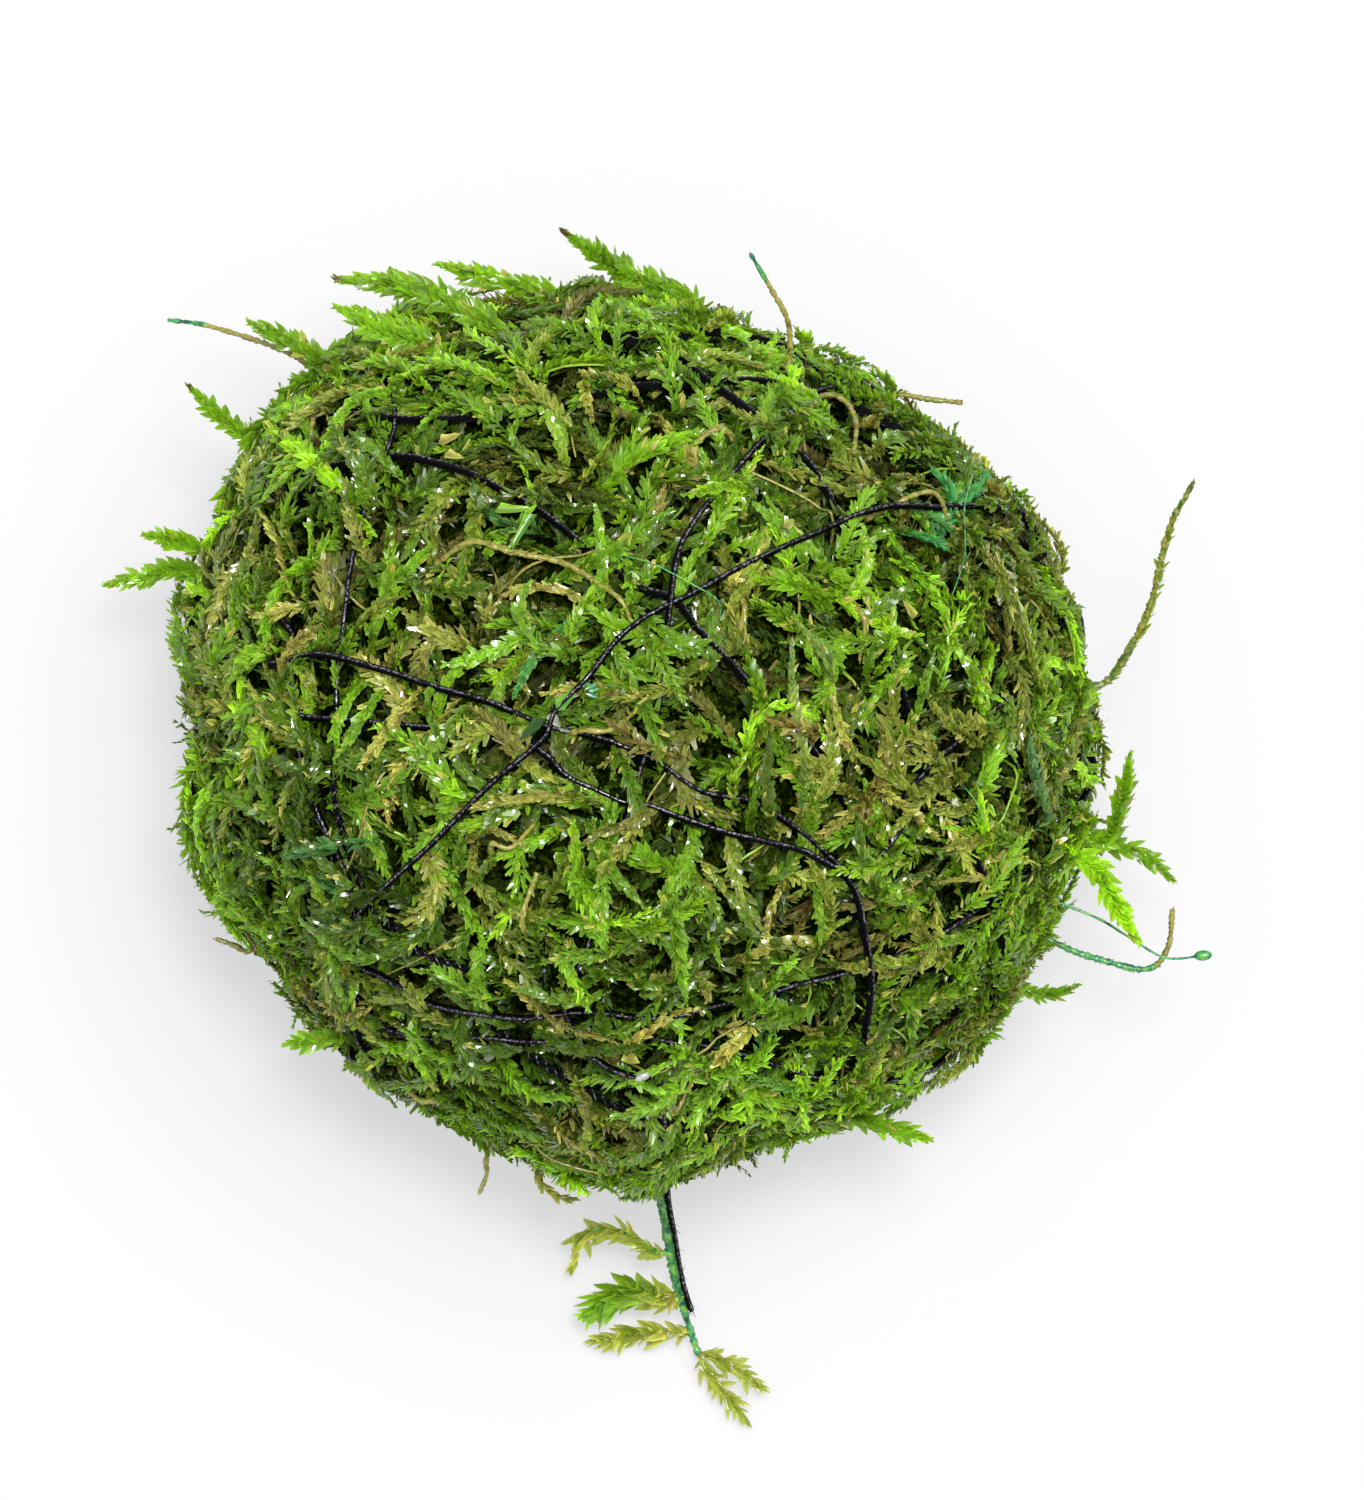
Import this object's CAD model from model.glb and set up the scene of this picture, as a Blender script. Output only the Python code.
# %% [markdown]
# # A moss ball bound with black thread
#
# The real thing is a handful of wet, leafy aquarium moss, pressed into a ball and wound with one long cotton
# thread. Seen close, it is thousands of small pointed leaves in rows along thin shoots, with dark hollows between.
# The solids that the part is built from give its size and form. This script puts the leaves, the twisted thread and
# the finishes on that form, one step at a time.

import math
import random

import bmesh
import bpy
import numpy as np
from mathutils import Matrix, Vector, kdtree, noise


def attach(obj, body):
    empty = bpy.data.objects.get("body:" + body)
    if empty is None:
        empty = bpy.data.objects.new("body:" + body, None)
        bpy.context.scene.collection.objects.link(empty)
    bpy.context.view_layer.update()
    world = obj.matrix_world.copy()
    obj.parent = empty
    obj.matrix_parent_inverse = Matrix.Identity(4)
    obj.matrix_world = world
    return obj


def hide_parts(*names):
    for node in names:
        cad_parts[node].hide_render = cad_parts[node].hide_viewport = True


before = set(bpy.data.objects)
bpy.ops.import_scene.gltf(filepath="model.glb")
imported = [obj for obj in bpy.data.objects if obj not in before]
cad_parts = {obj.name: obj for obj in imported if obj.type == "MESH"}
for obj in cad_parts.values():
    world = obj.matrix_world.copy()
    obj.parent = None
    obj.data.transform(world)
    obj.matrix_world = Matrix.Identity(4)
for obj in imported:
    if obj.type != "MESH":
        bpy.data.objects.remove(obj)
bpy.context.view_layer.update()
MM = 0.001
print("solids:", len(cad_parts))

# %% [markdown]
# ## The camera
#
# The photograph looks straight down on the ball from about a metre, so that it shows almost no perspective. A long
# lens gives that. The frame is 99 mm tall at the ball's widest line, and its middle lies a little to the right of
# the ball's, because the loose stem on the right is inside the picture.

# %% Camera
FRAME_TALL = 99.3
SENSOR = 36.0
CAMERA_ABOVE = 1100.0
WIDEST_LINE = 26.0
FRAME_MIDDLE = (3.5, -1.46)

camera = bpy.data.objects.new("camera", bpy.data.cameras.new("camera"))
camera.location = Vector((*FRAME_MIDDLE, WIDEST_LINE + CAMERA_ABOVE)) * MM
camera.data.sensor_width = SENSOR
camera.data.lens = SENSOR * CAMERA_ABOVE / FRAME_TALL
camera.data.clip_end = 10.0
bpy.context.scene.collection.objects.link(camera)
bpy.context.scene.camera = camera
print("lens:", round(camera.data.lens), "mm")

# %% [markdown]
# ## The floor and the light
#
# The ball lies on a white surface, in a light so even that only a faint grey halo is left round it. A wide plane
# and a pale sky give that. One large soft lamp at the upper right shapes the ball, and a smaller, harder one gives
# the wet leaves their glints.

# %% Floor and sky
FLOOR_HALF = 4.0


def plain_finish(name, colour, roughness):
    material = bpy.data.materials.new(name)
    material.use_nodes = True
    shader = material.node_tree.nodes["Principled BSDF"]
    shader.inputs["Base Color"].default_value = (*colour, 1.0)
    shader.inputs["Roughness"].default_value = roughness
    return material


bm = bmesh.new()
bmesh.ops.create_grid(bm, x_segments=1, y_segments=1, size=FLOOR_HALF)
floor_mesh = bpy.data.meshes.new("floor")
bm.to_mesh(floor_mesh)
bm.free()
floor_finish = plain_finish("floor", (0.22, 0.22, 0.22), 0.8)
floor_glow = floor_finish.node_tree.nodes["Principled BSDF"].inputs
floor_glow["Emission Color"].default_value = (1.0, 1.0, 1.015, 1.0)
floor_glow["Emission Strength"].default_value = 0.535
floor_mesh.materials.append(floor_finish)
floor = bpy.data.objects.new("floor", floor_mesh)
bpy.context.scene.collection.objects.link(floor)

world = bpy.data.worlds.new("pale sky")
world.use_nodes = True
world.node_tree.nodes["Background"].inputs["Color"].default_value = (1.0, 0.99, 0.97, 1.0)
world.node_tree.nodes["Background"].inputs["Strength"].default_value = 0.60
bpy.context.scene.world = world
bpy.context.scene.view_settings.view_transform = "Standard"

# %% Lamps
LAMPS = (
    ("broad lamp", (0.24, 0.24, 1.20), 0.60, 10.0),
    ("top lamp", (-0.20, 0.10, 1.30), 0.60, 4.0),
    ("glint lamp", (0.06, 0.14, 1.25), 0.20, 10.0),
)
for name, place, size, power in LAMPS:
    lamp = bpy.data.objects.new(name, bpy.data.lights.new(name, "AREA"))
    lamp.data.shape = "DISK"
    lamp.data.size = size
    lamp.data.energy = power
    lamp.location = place
    lamp.rotation_euler = (-Vector(place)).to_track_quat("-Z", "Y").to_euler()
    bpy.context.scene.collection.objects.link(lamp)
print("lamps:", len(LAMPS))

# %% [markdown]
# ## The form of the mat
#
# The ball isn't quite round: its outline swells and dips, and it has settled a little on its base. The solids get
# that form from an outline of 24 radii and a height, and the leaves need the same form to lie on. So the same few
# lines are repeated here. The work is in millimetres, and each finished mesh is scaled to metres.

# %% Outline and surface
TUFT_REACH = 1.3
LEAFY_OUTLINE = (
    31.0, 30.8, 30.2, 29.0, 27.9, 28.3, 29.6, 30.0, 31.6, 32.0, 31.2, 30.4,
    29.3, 30.6, 29.4, 29.0, 29.1, 30.0, 31.2, 29.8, 30.4, 30.4, 31.4, 31.8,
)
CENTRE = Vector((0.0, 0.0, 26.0))
HALF_HEIGHT = 27.4
LUMP_HEIGHT = 0.5
LUMPS_ACROSS = 3.5


def smooth_between(p0, p1, p2, p3, t):
    """The smooth curve from p1 to p2, at t from 0 to 1. It takes numbers as well as vectors."""
    bend = 2 * p0 - 5 * p1 + 4 * p2 - p3
    twist = 3 * p1 - p0 - 3 * p2 + p3
    return 0.5 * (2 * p1 + (p2 - p0) * t + bend * t * t + twist * t * t * t)


def smooth_route(points, pieces):
    """Points along one smooth curve through all of the given ones, with this many pieces between two."""
    ends = [2 * points[0] - points[1], *points, 2 * points[-1] - points[-2]]
    route = []
    for i in range(len(points) - 1):
        for piece in range(pieces):
            route.append(smooth_between(*ends[i:i + 4], piece / pieces))
    return [*route, points[-1]]


def outline(azimuth):
    """The mat's radius in plan in one direction."""
    count = len(LEAFY_OUTLINE)
    place = (azimuth / math.tau * count) % count
    first = math.floor(place)
    near = [LEAFY_OUTLINE[(first + i) % count] for i in (-1, 0, 1, 2)]
    return smooth_between(*near, place - first) - TUFT_REACH


def on_ball(direction, above=0.0):
    """The point of the mat in one direction from the ball's centre, raised outwards."""
    radius = outline(math.atan2(direction.y, direction.x))
    reach = Vector((radius * direction.x, radius * direction.y, HALF_HEIGHT * direction.z))
    lump = LUMP_HEIGHT * noise.noise(direction * LUMPS_ACROSS)
    return CENTRE + reach * (1 + (lump + above) / reach.length)


def direction_of(point):
    """The direction whose point of the mat lies right under a point in space."""
    out = point - CENTRE
    radius = outline(math.atan2(out.y, out.x))
    return Vector((out.x / radius, out.y / radius, out.z / HALF_HEIGHT)).normalized()


print("mat across:", round(outline(0.0) + outline(math.pi), 1), "mm")

# %% [markdown]
# ## The thread's route
#
# One strand goes over and under the ball eleven times and ends in a loose tail. The route is a list of points seen
# from above, chosen by hand, pass by pass, in the order of winding. Under the ball it takes the short way round the
# flat spot. Where a later pass crosses an earlier one it has to climb over it, so each crossing lifts the later
# pass. The same route gave the solid thread, so the fine one lands on it. Only where many passes cross on one spot
# is it squeezed lower than the solid, as the pull of the winding would do.

# %% Route of the thread
THREAD_RISE = 0.92
CROSSING_RISE = 0.68
CROSSING_REACH = 0.95
CROSSING_FLAT = 3.5
CROSSING_FADE = 5.0
SQUEEZED_ABOVE = 1.7
SQUEEZED_TO = 0.35
FINE_STEP = 0.8
PASS_PIECES = 12
TAIL_PIECES = 6
EDGE_SHARE = 0.985
START_AZIMUTH = 75.0
TUCKED_IN = 2
UNDER_DIPS = (58.0, 44.0, 52.0, 36.0, 56.0, 46.0, 40.0, 54.0, 34.0, 50.0, 42.0)
UNDER_SHARES = (0.12, 0.3, 0.5, 0.7, 0.88)
UNDER_FULLNESS = 0.7
TAIL_DIPS = (2.0, 10.0, 18.0, 25.0)
TAIL_AZIMUTH = -83.5
TAIL = ((3.1, -29.0, 13.9), (3.1, -31.4, 11.1), (3.55, -34.2, 7.9), (4.05, -37.2, 5.3), (4.85, -39.8, 3.7))
PASSES = (
    ((7.5, -29.5), (4.5, -26.5), (1.5, -25.0), (-2.5, -23.5), (-6.5, -20.5), (-9.0, -18.5), (-10.0, -15.5),
     (-12.0, -14.5), (-14.0, -13.5), (-16.0, -11.5), (-17.5, -8.5), (-18.5, -5.0), (-18.5, -2.0),
     (-18.5, 2.0), (-18.0, 6.5), (-17.5, 11.0), (-17.0, 14.5), (-15.0, 18.5), (-15.0, 21.5), (-15.0, 24.5),
     (-15.5, 28.0)),
    ((24.5, -22.0), (22.5, -18.5), (20.0, -15.5), (18.0, -12.5), (16.0, -9.0), (14.0, -5.0), (11.5, -1.0),
     (8.5, 2.0), (6.0, 4.5), (4.5, 6.0), (3.0, 8.0), (0.5, 9.0), (-2.0, 11.0), (-6.0, 14.0), (-10.0, 16.0),
     (-12.0, 16.5), (-15.0, 17.0), (-20.0, 16.5), (-26.0, 17.0)),
    ((30.0, 6.0), (28.0, 9.5), (23.0, 15.0), (18.0, 19.5), (13.5, 21.5), (10.0, 22.0), (6.5, 22.0), (4.0, 22.0),
     (-2.0, 21.5), (-8.5, 20.0), (-15.0, 19.5), (-23.0, 21.0)),
    ((31.0, -5.0), (28.0, -7.5), (22.0, -11.5), (16.5, -14.5), (13.5, -15.5), (10.0, -16.5), (7.5, -17.5),
     (4.0, -18.0), (-2.0, -18.0), (-6.0, -18.0), (-10.0, -17.5), (-13.0, -17.0), (-15.0, -16.0),
     (-17.3, -14.6), (-17.0, -12.5), (-17.2, -10.5), (-18.0, -8.5), (-19.0, -6.5), (-20.0, -3.5),
     (-21.0, -1.0), (-21.5, 2.5), (-21.5, 6.0), (-25.0, 9.0), (-29.0, 11.0)),
    ((25.0, -19.0), (23.5, -13.5), (21.5, -7.5), (19.0, -1.5), (16.5, 5.0), (14.5, 11.0), (12.5, 15.0),
     (11.0, 17.0), (8.5, 19.0), (6.5, 20.5), (4.0, 22.5), (0.5, 25.5), (-3.0, 28.6)),
    ((15.5, -24.5), (15.0, -20.0), (15.0, -15.5), (14.5, -12.0), (14.0, -10.0), (12.5, -8.0), (8.5, -5.0),
     (4.5, -4.0), (1.5, -2.0), (-2.5, -0.5), (-5.0, 0.0), (-8.5, 1.5), (-12.0, 2.5), (-15.0, 3.5),
     (-19.0, 4.5), (-22.0, 4.0), (-26.0, 4.5), (-29.5, 5.0)),
    ((30.5, 3.0), (25.0, 2.0), (20.5, -1.0), (17.5, -4.0), (17.0, -6.0), (16.0, -7.5), (14.5, -9.0),
     (12.5, -8.5), (10.5, -7.5), (6.0, -6.5), (1.5, -5.0), (-2.0, -4.0), (-4.0, -3.0), (-5.5, -1.5),
     (-8.5, -0.5), (-13.0, 0.0), (-18.5, 0.5), (-24.5, 1.0), (-29.5, 1.5)),
    ((13.6, 23.4), (10.5, 24.0), (7.5, 25.0), (4.5, 25.0), (1.5, 24.0), (-2.5, 25.0), (-7.0, 23.8),
     (-11.5, 22.0), (-15.5, 22.4), (-18.8, 25.0)),
    ((19.5, -23.5), (12.0, -22.3), (4.5, -20.5), (-1.5, -19.0), (-4.5, -19.5), (-8.5, -19.5), (-13.5, -20.0),
     (-16.0, -19.5), (-18.0, -17.0), (-19.0, -12.5), (-19.0, -10.0), (-19.5, -7.0), (-21.5, -4.5),
     (-25.0, -5.5), (-28.5, -5.0)),
    ((30.0, 13.0), (27.0, 13.5), (21.5, 14.0), (15.5, 13.5), (11.5, 12.0), (8.0, 10.5), (4.5, 8.5), (1.5, 7.0),
     (-1.0, 5.0), (-2.5, 3.0), (-4.5, 1.0), (-5.5, -1.0), (-9.0, -4.0), (-13.0, -8.0), (-16.5, -11.5),
     (-17.0, -14.0), (-17.5, -16.5), (-17.0, -19.5), (-18.5, -23.5)),
    ((17.0, 23.5), (12.5, 21.5), (8.5, 18.0), (5.0, 14.0), (4.0, 12.5), (3.0, 10.5), (2.5, 7.0), (2.0, 2.0),
     (0.5, -3.5), (-1.0, -8.5), (-2.5, -13.5), (-4.0, -17.0), (-2.5, -20.0), (0.0, -21.5), (2.0, -22.5),
     (2.0, -26.5), (1.5, -30.5)),
)


def over_plan(x, y):
    """The direction of the upper side over one point of the plan."""
    share = min(math.hypot(x, y) / outline(math.atan2(y, x)), EDGE_SHARE)
    level = Vector((x, y, 0.0)).normalized() * share
    return Vector((level.x, level.y, math.sqrt(1 - share * share)))


def dipping(azimuth, dip):
    """The direction at one azimuth, this far below the ball's widest line."""
    level = math.cos(dip)
    return Vector((level * math.cos(azimuth), level * math.sin(azimuth), -math.sin(dip)))


def beneath(start, end, dip):
    """The hidden stretch under the ball between two passes, beside the flat spot and not across it."""
    first = math.atan2(start.y, start.x)
    turn = (math.atan2(end.y, end.x) - first + math.pi) % math.tau - math.pi
    route = []
    for share in UNDER_SHARES:
        depth = math.sin(math.pi * share) ** UNDER_FULLNESS
        route.append(dipping(first + turn * share, dip * depth))
    return route


def thread_directions():
    """The winding as directions from the ball's centre, about one fine step apart on the mat."""
    route = []
    end_of_last = dipping(math.radians(START_AZIMUTH), 0.0)
    for plan, dip in zip(PASSES, UNDER_DIPS):
        over = [over_plan(x, y) for x, y in plan]
        route += beneath(end_of_last, over[0], math.radians(dip))
        route += over
        end_of_last = over[-1]
    route += [dipping(math.radians(TAIL_AZIMUTH), math.radians(dip)) for dip in TAIL_DIPS]
    fine = [point.normalized() for point in smooth_route(route[TUCKED_IN:], PASS_PIECES)]
    kept = [fine[0]]
    for direction in fine[1:]:
        if (on_ball(direction) - on_ball(kept[-1])).length >= FINE_STEP:
            kept.append(direction)
    return kept


def thread_heights(directions):
    """How far each point of the winding is lifted, so that a later pass lies on an earlier one."""
    places = [on_ball(direction) for direction in directions]
    walked = [0.0]
    for before, place in zip(places, places[1:]):
        walked.append(walked[-1] + (place - before).length)
    tree = kdtree.KDTree(len(places))
    for index, place in enumerate(places):
        tree.insert(place, index)
    tree.balance()
    walked_array = np.array(walked)
    heights = np.full(len(places), THREAD_RISE)
    own_stretch = 2 * (CROSSING_FLAT + CROSSING_FADE)
    for index, place in enumerate(places):
        close_by = [other for _, other, _ in tree.find_range(place, CROSSING_REACH)]
        under = [other for other in close_by if walked[other] < walked[index] - own_stretch]
        if not under:
            continue
        needed = max(heights[other] for other in under) + CROSSING_RISE
        away = np.abs(walked_array - walked[index])
        fade = np.clip(1 - (away - CROSSING_FLAT) / CROSSING_FADE, 0.0, 1.0)
        heights = np.maximum(heights, THREAD_RISE + (needed - THREAD_RISE) * fade)
    return heights


wound_directions = thread_directions()
free_heights = thread_heights(wound_directions)
wound_heights = np.minimum(free_heights, SQUEEZED_ABOVE + (free_heights - SQUEEZED_ABOVE) * SQUEEZED_TO)
wound = [on_ball(direction, height) for direction, height in zip(wound_directions, wound_heights)]
tail = smooth_route([wound[-1], *(Vector(point) for point in TAIL)], TAIL_PIECES)
thread_line = wound + tail[1:]
thread_length = sum((b - a).length for a, b in zip(thread_line, thread_line[1:]))
print("thread:", len(thread_line), "points,", round(thread_length), "mm long")

# %% [markdown]
# ## Writing materials as expressions
#
# A material is a graph of nodes, and drawing one by hand takes many lines. A small class that wraps a socket makes
# it read like arithmetic: `1 - mask * 0.5` adds the Math nodes that it needs. Colours go through Mix nodes, and one
# method makes every other kind of node.

# %% Sockets that can be added and multiplied
class Wire:
    """The output of a node, which arithmetic signs turn into Math nodes."""

    def __init__(self, finish, socket):
        self.finish = finish
        self.socket = socket

    def maths(self, operation, first, second):
        return self.finish.node("ShaderNodeMath", {"operation": operation}, {0: first, 1: second})

    def __add__(self, other):
        return self.maths("ADD", self, other)

    def __sub__(self, other):
        return self.maths("SUBTRACT", self, other)

    def __mul__(self, other):
        return self.maths("MULTIPLY", self, other)

    def __rsub__(self, other):
        return self.maths("SUBTRACT", other, self)

    __radd__ = __add__
    __rmul__ = __mul__


class Finish:
    """One material, and the one way in which its nodes are made."""

    def __init__(self, name):
        self.material = bpy.data.materials.new(name)
        self.material.use_nodes = True
        self.nodes = self.material.node_tree.nodes
        self.links = self.material.node_tree.links
        self.shader = self.nodes["Principled BSDF"]
        self.output = self.nodes["Material Output"]

    def put(self, socket, value):
        if isinstance(value, Wire):
            self.links.new(value.socket, socket)
        elif isinstance(value, tuple) and len(value) == 3 and socket.type == "RGBA":
            socket.default_value = (*value, 1.0)
        else:
            socket.default_value = value

    def node(self, kind, settings=None, sockets=None, out=0):
        """A node of this type, with its settings made first and then its sockets filled or linked."""
        made = self.nodes.new(kind)
        for name, value in (settings or {}).items():
            if name == "stops":
                self.set_stops(made.color_ramp, value)
            else:
                setattr(made, name, value)
        for name, value in (sockets or {}).items():
            self.put(made.inputs[name], value)
        return Wire(self, made.outputs[out])

    def set_stops(self, ramp, stops):
        while len(ramp.elements) < len(stops):
            ramp.elements.new(1.0)
        for element, (place, colour) in zip(ramp.elements, stops):
            element.position = place
            element.color = (*colour, 1.0)

    def attribute(self, name):
        return self.node("ShaderNodeAttribute", {"attribute_name": name}, out="Fac")

    def ramp(self, value, stops):
        return self.node("ShaderNodeValToRGB", {"stops": stops}, {"Fac": value}, out="Color")

    def mixed(self, amount, first, second, blend="MIX"):
        settings = {"data_type": "RGBA", "blend_type": blend, "clamp_factor": True}
        return self.node("ShaderNodeMix", settings, {0: amount, 6: first, 7: second}, out=2)

    def clouds(self, scale, detail=2.0, roughness=0.5):
        """Soft noise fixed to the object, with this many lumps to a metre."""
        place = self.node("ShaderNodeTexCoord", out="Object")
        return self.node("ShaderNodeTexNoise", {}, {"Vector": place, "Scale": scale, "Detail": detail,
                                                    "Roughness": roughness}, out="Fac")

    def spread(self, value, low, high, to_low=0.0, to_high=1.0):
        """The value's range from low to high, stretched over a new range and held at its ends."""
        sockets = {"Value": value, "From Min": low, "From Max": high, "To Min": to_low, "To Max": to_high}
        return self.node("ShaderNodeMapRange", {"clamp": True}, sockets, out="Result")

    def surface(self, **sockets):
        """Fills the shader's sockets, which are named with _ for a space."""
        for name, value in sockets.items():
            self.put(self.shader.inputs[name.replace("_", " ")], value)


# %% [markdown]
# ## The finish of a leaf
#
# A moss leaf is one cell thick, so light comes through it as well as off it. New leaves are lime, grown ones green,
# and old ones go olive, golden and then brown. Each leaf carries two numbers, its age and its tone, and one ramp
# turns age into colour. The leaf is paler along its thin edges and hollow along its middle, and it is wet, so a
# clear coat lies on it in patches. A Translucent shader mixed in lets the light through. It needs one fixed colour,
# because only the main shader's colour is kept when the finish is baked.

# %% Leaf finish
LEAF_AGES = (
    (0.00, (0.300, 0.560, 0.010)),
    (0.20, (0.172, 0.362, 0.012)),
    (0.42, (0.094, 0.204, 0.010)),
    (0.57, (0.115, 0.195, 0.012)),
    (0.70, (0.200, 0.245, 0.026)),
    (0.84, (0.340, 0.320, 0.060)),
    (0.93, (0.190, 0.135, 0.028)),
    (1.00, (0.090, 0.060, 0.018)),
)
TEAL = (0.008, 0.230, 0.095)


def leaf_finish(name, brightness, let_through, shine_through):
    finish = Finish(name)
    age = finish.attribute("age")
    tone = finish.attribute("tone")
    along = finish.attribute("along")
    side = finish.attribute("side")
    dyed = finish.attribute("dyed")
    cells = finish.clouds(3600.0)
    by_age = finish.ramp(age + (finish.clouds(900.0) - 0.5) * 0.20, LEAF_AGES)
    coloured = finish.mixed(dyed, by_age, TEAL)
    rim = side * side
    shade = tone * brightness * (0.56 + rim * 1.05) * (0.66 + along * 0.5) * (0.68 + cells * 0.64)
    grey = finish.node("ShaderNodeCombineColor", {}, {"Red": shade, "Green": shade, "Blue": shade})
    base = finish.mixed(1.0, coloured, grey, "MULTIPLY")
    wet = finish.spread(finish.clouds(260.0), 0.36, 0.54, 0.3, 1.0) * finish.spread(tone, 0.1, 0.7)
    height = rim * 0.7 + finish.clouds(5200.0, 3.0, 0.65) * 0.7
    bump = finish.node("ShaderNodeBump", {}, {"Strength": 1.0, "Distance": 0.00008, "Height": height}, out="Normal")
    finish.surface(Base_Color=base, Roughness=0.6 - wet * 0.2, Specular_IOR_Level=0.15, Coat_Weight=wet,
                   Coat_Roughness=0.13, Coat_IOR=1.5, Normal=bump)
    glow = finish.node("ShaderNodeBsdfTranslucent", {}, {"Color": shine_through}, out="BSDF")
    thin = finish.spread(age, 0.3, 0.9, let_through, let_through * 0.4) * finish.spread(tone, 0.3, 1.2)
    both = finish.node("ShaderNodeMixShader", {}, {0: thin, 1: Wire(finish, finish.shader.outputs[0]), 2: glow})
    finish.links.new(both.socket, finish.output.inputs["Surface"])
    return finish.material


mat_leaves = leaf_finish("wet moss leaves", 1.16, 0.2, (0.38, 0.60, 0.03))
single_leaves = {
    "fresh": leaf_finish("fresh leaves of the single shoots", 1.22, 0.36, (0.40, 0.66, 0.03)),
    "thin": leaf_finish("thin old leaves of the trailing shoots", 1.3, 0.85, (0.66, 0.70, 0.20)),
}
print("leaf finishes:", 1 + len(single_leaves))

# %% [markdown]
# ## One leaf
#
# A leaf of this moss is a pointed oval, about a millimetre long and less than half as wide, cupped like a spoon and
# bent like a hook. There are nearly three hundred thousand of them, so each may have only a few faces. A disc of five
# corners makes a good one: turned so that one side of it is the blunt tip, it is drawn out to the leaf's outline, and
# its rim is lifted into a cup. Deep in the mat four corners are enough. The loose shoots are seen against white, so
# their leaves come from a fine grid instead.

# %% Leaf shapes
LEAF_FATTEST = 0.40
LEAF_HALF_WIDTH = 0.18
BLUNT, POINTED = 0.42, 0.75


def leaf_width(along, taper):
    """Half the width of a leaf of length 1 at one point of it: an oval with a blunt or a pointed end."""
    rise = min(1.0, along / LEAF_FATTEST)
    fall = min(1.0, (1 - along) / (1 - LEAF_FATTEST))
    return LEAF_HALF_WIDTH * math.sqrt(rise * (2 - rise)) * fall ** taper


def shape_of(bm):
    """The points and triangles of a leaf, as two arrays, with its upper side towards +Z."""
    bmesh.ops.triangulate(bm, faces=bm.faces)
    bmesh.ops.recalc_face_normals(bm, faces=bm.faces)
    if sum(face.normal.z for face in bm.faces) < 0:
        bmesh.ops.reverse_faces(bm, faces=bm.faces)
    bm.verts.index_update()
    points = np.array([vert.co for vert in bm.verts])
    faces = np.array([[vert.index for vert in face.verts] for face in bm.faces])
    bm.free()
    return points, faces


def disc_leaf(corners):
    """A leaf along +X from a disc of a few corners, with its rim drawn out to the leaf's outline."""
    bm = bmesh.new()
    bmesh.ops.create_circle(bm, cap_ends=True, segments=corners, radius=0.5)
    if corners % 4:
        bmesh.ops.rotate(bm, matrix=Matrix.Rotation(math.pi / corners, 3, "Z"), verts=bm.verts)
    for vert in bm.verts:
        along = 0.5 + vert.co.y
        side = math.copysign(1.0, vert.co.x) if abs(vert.co.x) > 0.01 else 0.0
        vert.co = (along, side * leaf_width(along, BLUNT), 0.0)
    return shape_of(bm)


def grid_leaf(lengthwise, crosswise, teeth):
    """A finer leaf along +X from a grid, with small teeth along its rim."""
    bm = bmesh.new()
    bmesh.ops.create_grid(bm, x_segments=lengthwise, y_segments=crosswise, size=0.5)
    for vert in bm.verts:
        along, across = vert.co.x + 0.5, vert.co.y * 2
        row = round(along * lengthwise)
        tooth = 1 + teeth * (1 if row % 2 else -1) * abs(across) ** 4
        vert.co = (along, across * leaf_width(along, POINTED) * tooth, 0.0)
    bmesh.ops.remove_doubles(bm, verts=bm.verts, dist=0.001)
    return shape_of(bm)


deep_leaf = disc_leaf(4)
mat_leaf = disc_leaf(5)
fine_leaf = grid_leaf(4, 2, 0.14)
for name, shape in (("deep", deep_leaf), ("mat", mat_leaf), ("fine", fine_leaf)):
    print(name, "leaf:", len(shape[0]), "points,", len(shape[1]), "faces")

# %% [markdown]
# ## Many leaves as one mesh
#
# So many thousand objects would be far too slow, and instances are lost when the model is exported. So every leaf
# is described by a few numbers: its root, the three directions of its own frame, its length, its cup and curl, and
# its age and tone. Whole arrays of them become one mesh. In a big mesh each leaf also gets a small square of its own
# in a UV map, so that a baked picture has room for its colour.

# %% Leaves joined into a mesh
UV_FILL = 0.9
PAINT_NUMBERS = ("age", "tone", "dyed")
BAKE_MAP = "OFBake"


def grown_leaves(rows, shape):
    """The places of all the leaves' points, as an array of leaf by point by three, in millimetres."""
    along, across = shape[0][:, 0], shape[0][:, 1]
    forward = rows["axis"] * rows["length"][:, None]
    sideways = np.cross(rows["face"], rows["axis"]) * (rows["length"] * rows["width"])[:, None]
    rim = (across / LEAF_HALF_WIDTH) ** 2
    lift = rows["cup"][:, None] * rim + rows["curl"][:, None] * along ** 2
    placed = rows["root"][:, None, :] + forward[:, None, :] * along[:, None]
    bent = across[None, :] + rows["hook"][:, None] * along ** 2
    placed = placed + sideways[:, None, :] * bent[:, :, None]
    return placed + rows["face"][:, None, :] * lift[:, :, None]


def add_numbers(mesh, name, values):
    made = mesh.attributes.new(name, "FLOAT", "POINT")
    made.data.foreach_set("value", values.astype(np.float32))


def add_squares(mesh, points, all_faces, count):
    """A UV map in which every leaf has a square of its own."""
    squares = math.ceil(math.sqrt(count))
    corner = np.stack([np.arange(count) % squares, np.arange(count) // squares], axis=1)
    inside = points[:, :2] * (1.0, 1.6) * UV_FILL + (0.5 * (1 - UV_FILL), 0.5)
    uv = ((corner[:, None, :] + inside[None, :, :]) / squares).reshape(-1, 2)
    uv_map = mesh.uv_layers.new(name=BAKE_MAP)
    uv_map.data.foreach_set("uv", uv[all_faces.reshape(-1)].reshape(-1).astype(np.float32))


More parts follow.
